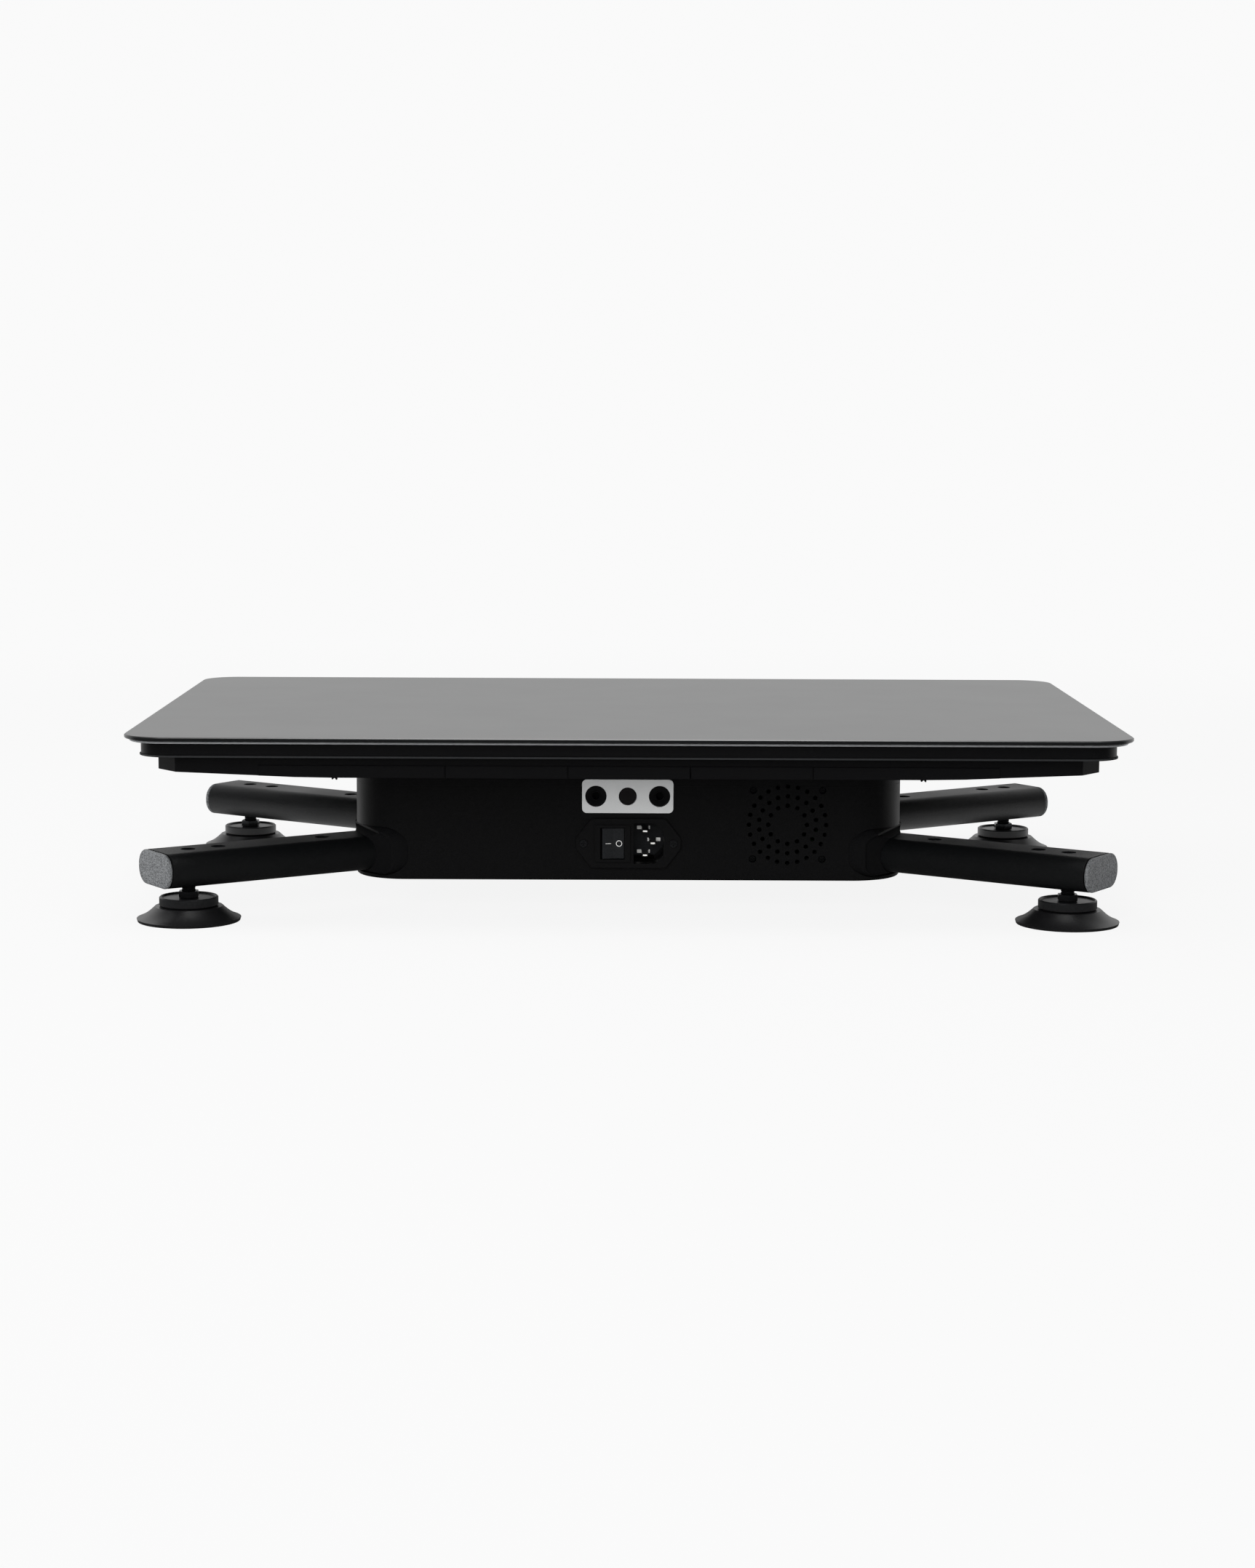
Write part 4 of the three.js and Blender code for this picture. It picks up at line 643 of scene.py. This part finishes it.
def grommet(frame_matrix):
    low, high = crossing_low.z, crossing_high.z
    half = LEG_HALF_WIDTH + CROSSING_SIDE
    leg_low, leg_high = leg_z - leg_half_height - GAP, leg_z + leg_half_height + GAP
    rings = []
    for inset, outward in ((0, -GROMMET_IN), (0, GROMMET_LOW), (GROMMET_SLOPE, GROMMET_OUT),
                           (GROMMET_RIM, GROMMET_OUT), (GROMMET_RIM + GAP, GROMMET_FACE)):
        below = min(inset, GAP)
        rings.append((oval(half - inset, low + below, high - inset, CROSSING_CORNER - inset), outward))
    for outward in (GROMMET_FACE, -GROMMET_IN):
        rings.append((oval(LEG_HALF_WIDTH + GAP, leg_low, leg_high, LEG_CORNER + GAP), outward))
    bm = bmesh.new()
    loops = []
    for points, outward in rings:
        ring = [bm.verts.new(on_cover(frame_matrix, *point, outward)) for point in points]
        loops.append([bm.edges.new(pair) for pair in zip(ring, ring[1:] + ring[:1])])
    for loop, following in zip(loops, loops[1:] + loops[:1]):
        bmesh.ops.bridge_loops(bm, edges=loop + following)
    return bm


for corner in CORNERS:
    dressed(f"tube_{corner}", moved(tube(), frames[corner]), powder, "base", "powder_coat",
            f"leg_{corner}")
    dressed(f"end_cap_{corner}", moved(end_cap(), frames[corner]), cap_plastic, "base", "cap",
            f"leg_cap_{corner}")
    dressed(f"grommet_{corner}", grommet(frames[corner]), rubber, "base", "rubber",
            f"leg_grommet_{corner}")
print("legs:", len(CORNERS))

# %% [markdown]
# A levelling foot is turned work from top to bottom, so each piece is a spun profile: the threaded
# stud with its hexagon, the moulded disc with a raised rim, and the suction cup with its thin lip.
# The thread is drawn as rings at the M8 pitch, which is what shows of a thread this small.

# %% Feet
THREAD_PITCH = 1.25 * MM
THREAD_DEPTH = 0.45 * MM
STUD_RADIUS = 4 * MM
HEX_HALF_FLATS = 5.35 * MM
HEX_EDGE = 0.35 * MM
HEX_HEIGHT = 3.7 * MM
DISC_RIM_WIDTH = 1.8 * MM
DISC_RIM_RISE = 1 * MM
DISC_EDGE = 0.6 * MM
DISC_BOSS_SHARE = 0.7
CUP_RIM = 1.6 * MM
CUP_LEDGE_RADIUS = 19 * MM
CUP_WALL = 2.2 * MM
CUP_SAG = 0.9 * MM  # how far the cone's side curves in
CUP_STEPS = 8

cup_low, cup_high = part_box("suction_cup_front_right")
disc_low, disc_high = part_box("foot_disc_front_right")
stud_low, stud_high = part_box("levelling_stud_front_right")
cup_radius = (cup_high.x - cup_low.x) / 2
disc_radius = (disc_high.x - disc_low.x) / 2
hex_low = disc_high.z - DISC_RIM_RISE + GAP
hex_high = hex_low + HEX_HEIGHT


def stud():
    turns_of_thread = round((stud_high.z - hex_high) / THREAD_PITCH)
    profile = [(0, stud_low.z), (STUD_RADIUS, stud_low.z), (STUD_RADIUS, hex_high)]
    for i in range(turns_of_thread):
        crest = hex_high + (i + 0.5) * THREAD_PITCH
        profile += [(STUD_RADIUS - THREAD_DEPTH, crest - THREAD_PITCH / 2), (STUD_RADIUS, crest)]
    profile += [(STUD_RADIUS - THREAD_DEPTH, stud_high.z), (0, stud_high.z)]
    corner = HEX_HALF_FLATS / math.cos(math.pi / 6)
    hexagon = [(corner * math.cos(math.tau * i / 6), corner * math.sin(math.tau * i / 6))
               for i in range(6)]
    nut = softened(slab(hexagon, hex_low, hex_high), HEX_EDGE, angle=30, steps=2)
    return joined(turned(profile, HOLE_STEPS), nut)


def disc():
    low, high = disc_low.z, disc_high.z
    ledge = cup_high.z + GAP
    boss = disc_radius * DISC_BOSS_SHARE
    inner = disc_radius - DISC_RIM_WIDTH
    bore = STUD_RADIUS + GAP
    profile = [(0, low), (boss, low), (boss, ledge), (disc_radius - DISC_EDGE, ledge),
               (disc_radius, ledge + DISC_EDGE), (disc_radius, high - DISC_EDGE),
               (disc_radius - DISC_EDGE, high), (inner + DISC_EDGE, high),
               (inner, high - DISC_RIM_RISE), (bore, high - DISC_RIM_RISE),
               (bore, stud_low.z - GAP), (0, stud_low.z - GAP)]
    return turned(profile)


def cup():
    """The cup's outer side falls from the ledge to the lip in a shallow curve."""
    side = []
    for i in range(CUP_STEPS + 1):
        share = i / CUP_STEPS
        radius = CUP_LEDGE_RADIUS + (cup_radius - CUP_LEDGE_RADIUS) * share
        height = cup_high.z + (CUP_RIM - cup_high.z) * share - CUP_SAG * math.sin(math.pi * share)
        side.append((radius, height))
    lip = cup_radius - CUP_WALL
    return turned([(0, cup_high.z), *side, (cup_radius - CUP_RIM / 3, 0), (lip, 0),
                   (CUP_LEDGE_RADIUS, cup_high.z / 2), (0, cup_high.z - CUP_WALL)])


for corner, spot in frames.items():
    body = f"foot_{corner}"
    dressed(f"stud_{corner}", moved(stud(), spot), blackened, body, "black_screw",
            f"levelling_stud_{corner}")
    dressed(f"disc_{corner}", moved(disc(), spot), foot_abs, body, "foot_plastic", f"foot_disc_{corner}")
    dressed(f"cup_{corner}", moved(cup(), spot), cup_pvc, body, "rubber", f"suction_cup_{corner}")
print("feet:", len(frames))

# %% [markdown]
# The mains module is one black moulding: a flange with cut corners, a frame round the rocker, and
# the well for the mains connector with two of its corners cut. The frame and the flange are raised
# from outlines, and the rocker's pocket and the well are carved. The pins stand in a holder, a thin
# plate at the bottom of the well that leaves a deep slot under it.

# %% Mains module
FLANGE_THICK = 1.6 * MM
FLANGE_TOP_X = 21.4 * MM
FLANGE_END_X = 30.2 * MM
FLANGE_END_HALF = 3 * MM
FLANGE_ROUND = 1.2 * MM
FLANGE_EDGE = 0.35 * MM
FLANGE_HALF_HEIGHT = 14.4 * MM
FRAME_WALL = 3.4 * MM
FRAME_RISE = 1 * MM
FRAME_CORNER = 0.8 * MM
ROCKER_GAP = 0.65 * MM
ROCKER_POCKET = 12 * MM
WELL_LEFT = 3 * MM
WELL_RIGHT = 20.2 * MM
WELL_HALF = 11.9 * MM
WELL_CUT = 5 * MM
WELL_CORNER = 0.6 * MM
WELL_DEPTH = 17.5 * MM
WELL_SLOT = 2.8 * MM  # the well goes deeper along its lower side
WELL_BACK = 1 * MM
SCREW_HOLE = 1.7 * MM
SCREW_X = 25.9 * MM
SCREW_HOLE_STEPS = 32

rocker_x = -9.2 * MM
rocker_half = Vector((6.35, 0, 8.9)) * MM
flange_back = FACE_Y - GAP
flange_front = flange_back - FLANGE_THICK


def on_flange(points, back, front, corner=0.0):
    """A block on the mains module, drawn round its centre and laid on the front face."""
    return facing_front(slab(points, 0, back - front, corner), 0, inlet_z, back)


flange = [(-FLANGE_END_X, -FLANGE_END_HALF), (-FLANGE_TOP_X, -FLANGE_HALF_HEIGHT),
          (FLANGE_TOP_X, -FLANGE_HALF_HEIGHT), (FLANGE_END_X, -FLANGE_END_HALF),
          (FLANGE_END_X, FLANGE_END_HALF), (FLANGE_TOP_X, FLANGE_HALF_HEIGHT),
          (-FLANGE_TOP_X, FLANGE_HALF_HEIGHT), (-FLANGE_END_X, FLANGE_END_HALF)]
module = softened(on_flange(flange, flange_back, flange_front, FLANGE_ROUND), FLANGE_EDGE, angle=60)
pocket_half = Vector((rocker_half.x + ROCKER_GAP, 0, rocker_half.z + GAP))
frame_outline = rectangle(pocket_half.x + FRAME_WALL, pocket_half.z + FRAME_WALL / 2, rocker_x)
rocker_frame = on_flange(frame_outline, flange_back, flange_front - FRAME_RISE, FRAME_CORNER)
module = carved(module, softened(rocker_frame, FLANGE_EDGE, angle=60), "UNION")
behind = on_flange(rectangle(INLET_HALF_WIDTH - GAP, INLET_HALF_HEIGHT - GAP),
                   inlet_high.y, flange_back - FLANGE_THICK / 2)
module = carved(module, behind, "UNION")
well = [(WELL_LEFT, -WELL_HALF), (WELL_RIGHT - WELL_CUT, -WELL_HALF), (WELL_RIGHT, WELL_CUT - WELL_HALF),
        (WELL_RIGHT, WELL_HALF - WELL_CUT), (WELL_RIGHT - WELL_CUT, WELL_HALF), (WELL_LEFT, WELL_HALF)]
well_floor = flange_front + WELL_DEPTH
cuts = [on_flange(rectangle(pocket_half.x, pocket_half.z, rocker_x), flange_front + ROCKER_POCKET,
                  flange_front - OVERRUN),
        on_flange(well, well_floor, flange_front - OVERRUN, WELL_CORNER)]
for x in (-SCREW_X, SCREW_X):
    cuts.append(facing_front(rod(SCREW_HOLE, 0, FLANGE_THICK + 2 * OVERRUN, SCREW_HOLE_STEPS),
                             x, inlet_z, flange_back + OVERRUN))
module = carved(module, joined(*cuts))
slot_middle = (WELL_LEFT + WELL_RIGHT - WELL_CUT) / 2
slot_half = (WELL_RIGHT - WELL_CUT - WELL_LEFT) / 2 - GAP
deep = on_flange(rectangle(slot_half, WELL_SLOT / 2, slot_middle, GAP + WELL_SLOT / 2 - WELL_HALF),
                 inlet_high.y - WELL_BACK, well_floor - WELL_BACK)
dressed("mains_module", carved(module, deep), inlet_nylon, "base", "inlet_plastic", "power_inlet")

holder = [(WELL_LEFT, WELL_SLOT - WELL_HALF), (WELL_RIGHT - WELL_CUT, WELL_SLOT - WELL_HALF),
          (WELL_RIGHT, WELL_SLOT + WELL_CUT - WELL_HALF), *well[3:]]
holder_plate = on_flange(holder, well_floor + GAP, well_floor - GAP, WELL_CORNER)
dressed("contact_holder", holder_plate, rocker_nylon, "base", "inlet_plastic")

# %% [markdown]
# The rocker's face is dished: two slopes that meet in the middle, with a dash for on and a ring for
# off printed in white. It is built upright, marks and all, and tipped into its resting place.

# %% Rocker and its marks
ROCKER_PROUD = 4 * MM
ROCKER_DISH = 2.9 * MM
ROCKER_BACK = 5 * MM
ROCKER_PIVOT_IN = 3.2 * MM
ROCKER_TILT = math.radians(7)
ROCKER_EDGE = 0.4 * MM
MARK_RISE = 0.06 * MM
DASH_X = -2.8 * MM
RING_X = 3.4 * MM
DASH_LENGTH = 3.4 * MM
DASH_WIDTH = 0.26 * MM
RING_RADIUS = 1.75 * MM
RING_LINE = 0.3 * MM

tip = (Matrix.Translation((rocker_x, flange_front + ROCKER_PIVOT_IN, inlet_z))
       @ Matrix.Rotation(ROCKER_TILT, 4, "Z"))
side = [(-rocker_half.x, -ROCKER_PROUD), (0, -ROCKER_DISH), (rocker_half.x, -ROCKER_PROUD),
        (rocker_half.x, 0), (rocker_half.x / 2, ROCKER_BACK), (-rocker_half.x / 2, ROCKER_BACK),
        (-rocker_half.x, 0)]
button = softened(slab(side, -rocker_half.z, rocker_half.z), ROCKER_EDGE, angle=8, steps=3)
dressed("rocker_face", moved(button, tip), rocker_nylon, "rocker", "rocker_plastic", "rocker_button")

slope = math.atan2(ROCKER_PROUD - ROCKER_DISH, rocker_half.x)
dash = slab(rectangle(DASH_LENGTH / 2, DASH_WIDTH / 2), 0, MARK_RISE)
ring = carved(rod(RING_RADIUS, 0, MARK_RISE), rod(RING_RADIUS - RING_LINE, -OVERRUN, OVERRUN))
for name, mark, mark_x in (("on_mark", dash, DASH_X), ("off_mark", ring, RING_X)):
    face_depth = ROCKER_DISH + abs(mark_x) * math.tan(slope)
    seat = (tip @ Matrix.Translation((mark_x, -face_depth, 0))
            @ Matrix.Rotation(-math.copysign(slope, mark_x), 4, "Z") @ LIES_FRONT)
    dressed(name, moved(mark, seat), white_ink, "rocker", None)

# %% [markdown]
# The three mains pins are blades of nickel-plated brass. Their sides mirror the dark well. The glints
# of light on their blunt tips and on the well's floor beside them are painted: small near-white
# plates of their own.

# %% Mains pins and their painted glints
PIN_EDGE = 0.5 * MM
TIP_PROUD = 0.05 * MM
TAB_CORNER = 0.35 * MM
TAB_STEPS = 4
GLINT_RISE = 0.5 * MM
GLINT_EDGE = 0.15 * MM
WIDE_GLINT = Vector((2.6, 2.1)) * MM
SLIM_GLINT = Vector((0.9, 2.1)) * MM
TIP_GLINT = Vector((2.5, 1.0)) * MM
WIDE_OUT = 3.3 * MM
SLIM_OUT = 2.6 * MM
pin_sides = {"line": -1, "neutral": -1, "earth": 1}

for pin, outer in pin_sides.items():
    low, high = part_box(f"inlet_pin_{pin}")
    centre = (low + high) / 2
    blade = softened(copied(f"inlet_pin_{pin}"), PIN_EDGE, angle=20, steps=2)
    dressed(f"mains_pin_{pin}", blade, nickel, "base", "nickel", f"inlet_pin_{pin}")
    glint_plates = []
    # Three small near-white plates per pin paint its glints: two on the well's floor beside it, one
    # proud of its tip.
    for size, x, back in ((WIDE_GLINT, outer * WIDE_OUT, well_floor),
                          (SLIM_GLINT, -outer * SLIM_OUT, well_floor),
                          (TIP_GLINT, 0, low.y - TIP_PROUD + GLINT_RISE)):
        tab = slab(rectangle(size.x / 2, size.y / 2), 0, GLINT_RISE, TAB_CORNER, TAB_STEPS)
        tab = softened(tab, GLINT_EDGE, angle=60)
        glint_plates.append(facing_front(tab, centre.x + x, centre.z, back))
    dressed(f"painted_pin_glints_{pin}", joined(*glint_plates), pin_glint_white, "base", "nickel")

# %% [markdown]
# Screws: a low domed head with a cross recess. The same kind holds the mains module and the fan, so
# one function makes them all. The dome and the shank are shares of the head, whatever its size.

# %% Screws
SCREW_HEAD_RADIUS = 2.35 * MM
SCREW_HEAD_RISE = 0.9 * MM
SCREW_LENGTH = 5 * MM
CROSS_WIDTH = 0.8 * MM
CROSS_DEPTH = 1.3 * MM
CROSS_REACH = 0.6
SHANK_SHARE = 0.55
DOME_SHARES = [(1, 0), (1, 0.35), (0.85, 0.8), (0.5, 1), (0, 1)]  # of the radius and of the rise


def screw(radius, length):
    """A pan-head screw, head up, with the underside of its head at zero."""
    rise = SCREW_HEAD_RISE
    dome = [(radius * out, rise * up_share) for out, up_share in DOME_SHARES]
    shank = radius * SHANK_SHARE
    body = turned([(0, -length), (shank, -length), (shank, 0), *dome], HOLE_STEPS)
    reach = radius * CROSS_REACH
    for half_x, half_y in ((CROSS_WIDTH / 2, reach), (reach, CROSS_WIDTH / 2)):
        body = carved(body, slab(rectangle(half_x, half_y), rise - CROSS_DEPTH, rise + OVERRUN))
    return body


for side, x in (("left", -SCREW_X), ("right", SCREW_X)):
    fixing = facing_front(screw(SCREW_HEAD_RADIUS, SCREW_LENGTH), x, inlet_z, flange_front - GAP)
    dressed(f"module_screw_{side}", fixing, blackened, "base", "black_screw", f"inlet_screw_{side}")

# %% [markdown]
# The fan's own screws sit in the four corner holes of the grille, with their heads just behind the
# cover's face. The lower tray is held by snap hooks, and two of them show as small forked tips under
# its front edge. Each hook is a short bar with its section drawn in X and Z.

# %% Fan screws and tray hooks
FAN_HEAD_RADIUS = 1.85 * MM
FAN_HEAD_BEHIND = 1.3 * MM
FAN_SHANK = 1.5 * MM
HOOK_X = 163.4 * MM
HOOK_IN = 0.8 * MM
HOOK_DEPTH = 2.5 * MM
HOOK_EDGE = 0.1 * MM
HOOK_SECTION = [(-1.6, 0.5), (-1.5, -1.0), (-0.8, -1.0), (-0.3, -0.3),
                (0.3, -0.3), (0.8, -1.2), (1.5, -1.2), (1.6, 0.5)]  # millimetres

fan_heads = [facing_front(screw(FAN_HEAD_RADIUS, FAN_SHANK), fan_x + x, fan_z + z,
                          FACE_Y + FAN_HEAD_BEHIND + SCREW_HEAD_RISE) for x, z in fan_screws]
dressed("fan_screw_heads", joined(*fan_heads), black_oxide, "base", "black_screw")
hook_points = [(x * MM, z * MM) for x, z in HOOK_SECTION]
hook_back = lower_low.y + HOOK_IN + HOOK_DEPTH
hooks = [facing_front(slab(hook_points, 0, HOOK_DEPTH), x, lower_low.z, hook_back)
         for x in (-HOOK_X, HOOK_X)]
dressed("tray_hooks", softened(joined(*hooks), HOOK_EDGE), tray_abs, "deck", "pan")
print("fan screws and hooks:", len(fan_screws) + len(hooks))

# %% [markdown]
# The socket panel is a pale moulding with two sockets and a window for the remote control's
# receiver. The dark rounds are turned pieces set a little behind the panel's face, and each socket
# has an inner ring round its throat.

# %% Socket panel
PANEL_CORNER = 2.8 * MM
PANEL_PROUD = 1.2 * MM
PANEL_EDGE = 0.35 * MM
ROUND_GAP = 0.3 * MM
THROAT_RADIUS = 2.2 * MM
THROAT_RING = 0.4 * MM
SOCKET_DISH = 0.9 * MM
PANEL_BLOCK = 7 * MM
THROAT_SHARE = 0.3
panel_back = FACE_Y - GAP

plate = slab(rectangle(panel_half.x, panel_half.z), 0, PANEL_PROUD, PANEL_CORNER)
plate = facing_front(softened(plate, PANEL_EDGE, angle=60), panel_centre.x, panel_centre.z, panel_back)
inward = PANEL_LEDGE + ROUND_GAP
block = slab(rectangle(panel_half.x - inward, panel_half.z - inward), 0, PANEL_BLOCK + PANEL_PROUD / 2)
block = facing_front(block, panel_centre.x, panel_centre.z, panel_back + PANEL_BLOCK)
plate = carved(plate, block, "UNION")
rounds = []
for node in ("socket_left", "receiver_window", "socket_right"):
    low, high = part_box(node)
    radius = (high.z - low.z) / 2 + ROUND_GAP
    rounds.append(facing_front(rod(radius, 0, 4 * PANEL_BLOCK), (low.x + high.x) / 2, panel_centre.z,
                               panel_back + 2 * PANEL_BLOCK))
dressed("pale_panel", carved(plate, joined(*rounds)), panel_abs, "base", "panel_white", "socket_panel")

for side in ("left", "right"):
    low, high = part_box(f"socket_{side}")
    radius, length = (high.z - low.z) / 2, high.y - low.y
    throat = length * THROAT_SHARE
    profile = [(0, 0), (radius, 0), (radius, length - SOCKET_DISH / 4),
               (radius - SOCKET_DISH / 4, length), (radius - SOCKET_DISH, length),
               (THROAT_RADIUS + THROAT_RING, length - SOCKET_DISH),
               (THROAT_RADIUS + THROAT_RING, length - SOCKET_DISH / 2),
               (THROAT_RADIUS, length - SOCKET_DISH / 2), (THROAT_RADIUS, throat), (0, throat)]
    jack = facing_front(turned(profile), (low.x + high.x) / 2, panel_centre.z, high.y)
    dressed(f"jack_{side}", jack, socket_nylon, "base", "socket_plastic", f"socket_{side}")
low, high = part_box("receiver_window")
lens = softened(rod((high.z - low.z) / 2, 0, high.y - low.y), PANEL_EDGE, angle=60)
dressed("receiver_lens", facing_front(lens, (low.x + high.x) / 2, panel_centre.z, high.y),
        infrared_acrylic, "base", "window_tint", "receiver_window")

# %% [markdown]
# The studio is a pale floor and a pale backdrop behind the object, with a dark room on the camera's
# side. That is why the black fronts in the photograph are almost black while corners, caps and tops
# that turn to the sides or the back shine. The camera sees the backdrop all round. Mirrors see it
# where it really hangs, from the sides round to the back and from a little above the floor, with a
# soft light overhead that draws the thin lines on rounded upper edges.

# %% Floor and world
FLOOR_HALF = 9.0
PALE = 0.955
GLOW_SHARE = 0.95
NEAR_GLOW = 0.935
NEAR, FAR = 0.6, 1.8
ROOM_DARK = 0.05
HORIZON_SHARE = 0.1
CEILING = 0.8
DIFFUSE_WALL = 0.5
FLOOR_DARK_Y = -0.12
FLOOR_PALE_Y = 0.12
FLOOR_SIDE_X = (0.3, 0.42)
PAPER_GREY = (0.8, 0.8, 0.8, 1)
WHITE = (1, 1, 1, 1)
BACK_FROM, BACK_TO = 0.1, 0.65  # how far a mirrored direction points to the back
RISE_FROM, RISE_TO = 0.03, 0.12  # how far it points up where the backdrop begins
TOP_FROM, TOP_TO = 0.7, 0.95  # and where the ceiling begins


def shown_rays(tree):
    """1 for rays that should see the pale studio itself: from the camera, a mirror or clear glass."""
    path = add(tree, "ShaderNodeLightPath")
    both = add(tree, "ShaderNodeMath", {
        0: path.outputs["Is Camera Ray"], 1: path.outputs["Is Glossy Ray"]}, operation="MAXIMUM")
    every = add(tree, "ShaderNodeMath", {0: both.outputs[0], 1: path.outputs["Is Transmission Ray"]},
                operation="MAXIMUM")
    return path.outputs["Is Camera Ray"], every.outputs[0]


def ramp(tree, value, start, end, low, high):
    """A smooth rise from low to high while a value goes from start to end."""
    made = add(tree, "ShaderNodeMapRange", {
        "Value": value, "From Min": start, "From Max": end, "To Min": low, "To Max": high},
        interpolation_type="SMOOTHSTEP")
    return made.outputs["Result"]


floor_mesh = bpy.data.meshes.new("floor")
flat_outline(rectangle(FLOOR_HALF, FLOOR_HALF)).to_mesh(floor_mesh)
floor_mesh.materials.append(bpy.data.materials.new("pale_studio_paper"))
floor = bpy.data.objects.new("floor", floor_mesh)
bpy.context.scene.collection.objects.link(floor)
paper_material = floor_mesh.materials[0]
paper_material.use_nodes = True
tree = paper_material.node_tree
tree.nodes.clear()
from_camera, shown = shown_rays(tree)
place = add(tree, "ShaderNodeTexCoord")
parts = add(tree, "ShaderNodeSeparateXYZ", {0: place.outputs["Object"]})
distance = add(tree, "ShaderNodeVectorMath", {0: place.outputs["Object"]}, operation="LENGTH")
reach = distance.outputs["Value"]
side = add(tree, "ShaderNodeMath", {0: parts.outputs["X"]}, operation="ABSOLUTE").outputs[0]
beside = ramp(tree, side, *FLOOR_SIDE_X, 0.0, 1.0)
back = ramp(tree, parts.outputs["Y"], FLOOR_DARK_Y, FLOOR_PALE_Y, 0.0, 1.0)
middle = ramp(tree, parts.outputs["Y"], FLOOR_DARK_Y, 0.0, 0.0, 1.0)
flank = add(tree, "ShaderNodeMath", {0: beside, 1: middle}, operation="MULTIPLY").outputs[0]
lit = add(tree, "ShaderNodeMath", {0: back, 1: flank}, operation="MAXIMUM").outputs[0]
mirrored = ramp(tree, lit, 0.0, 1.0, ROOM_DARK, PALE)
shown_glow = ramp(tree, reach, NEAR, FAR, NEAR_GLOW, PALE)
strength = add(tree, "ShaderNodeMix", {0: from_camera, 2: mirrored, 3: shown_glow}, data_type="FLOAT")
paper = add(tree, "ShaderNodeBsdfDiffuse", {"Color": PAPER_GREY})
glow = add(tree, "ShaderNodeEmission", {"Color": WHITE, "Strength": strength.outputs[0]})
most = ramp(tree, reach, NEAR, FAR, GLOW_SHARE, 1.0)
share = add(tree, "ShaderNodeMath", {0: shown, 1: most}, operation="MULTIPLY")
mixed = add(tree, "ShaderNodeMixShader", {0: share.outputs[0], 1: paper.outputs[0], 2: glow.outputs[0]})
add(tree, "ShaderNodeOutputMaterial", {"Surface": mixed.outputs[0]})

world = bpy.data.worlds.new("studio")
bpy.context.scene.world = world
world.use_nodes = True
tree = world.node_tree
tree.nodes.clear()
from_camera, shown = shown_rays(tree)
direction = add(tree, "ShaderNodeTexCoord")
parts = add(tree, "ShaderNodeSeparateXYZ", {0: direction.outputs["Generated"]})
behind = ramp(tree, parts.outputs["Y"], BACK_FROM, BACK_TO, 0.0, PALE)
above = ramp(tree, parts.outputs["Z"], RISE_FROM, RISE_TO, HORIZON_SHARE, 1.0)
backdrop = add(tree, "ShaderNodeMath", {0: behind, 1: above}, operation="MULTIPLY")
ceiling = ramp(tree, parts.outputs["Z"], TOP_FROM, TOP_TO, ROOM_DARK, CEILING)
brightest = add(tree, "ShaderNodeMath", {0: backdrop.outputs[0], 1: ceiling}, operation="MAXIMUM")
mirrored = add(tree, "ShaderNodeMix", {0: shown, 2: DIFFUSE_WALL, 3: brightest.outputs[0]},
               data_type="FLOAT")
seen = add(tree, "ShaderNodeMix", {0: from_camera, 2: mirrored.outputs[0], 3: PALE}, data_type="FLOAT")
light = add(tree, "ShaderNodeBackground", {"Strength": seen.outputs[0], "Color": WHITE})
add(tree, "ShaderNodeOutputWorld", {"Surface": light.outputs[0]})

# %% [markdown]
# Four soft lamps. One on each side models the round forms, the left one stronger as in the
# photograph, one overhead draws the line on the glass, and a wide one in front lets the black
# fronts be told from each other. Only the overhead lamp is let into the mirrors.

# %% Lamps
AIM = Vector((0, 0, 0.06))


def lamp(name, place, size, power, mirrored=False):
    """A square soft lamp that faces the middle of the object, and that mirrors show only if told."""
    data = bpy.data.lights.new(name, "AREA")
    data.size = size
    data.energy = power
    obj = bpy.data.objects.new(name, data)
    bpy.context.scene.collection.objects.link(obj)
    obj.location = place
    obj.rotation_euler = (AIM - Vector(place)).to_track_quat("-Z", "Y").to_euler()
    obj.visible_glossy = mirrored
    return obj


lamp("left_softbox", (-1.9, 0.1, 0.8), 1.2, 32)
lamp("right_softbox", (1.9, 0.1, 0.8), 1.2, 5)
lamp("overhead_softbox", (0, -0.3, 2.2), 0.9, 25, mirrored=True)
lamp("front_fill", (-0.5, -2.6, 1.2), 1.8, 66)

# %% [markdown]
# Last, the view transform: Standard, so that a colour shows as it is written. The dressed model
# has to stay in the solid one's box.

# %% View transform
bpy.context.scene.view_settings.view_transform = "Standard"
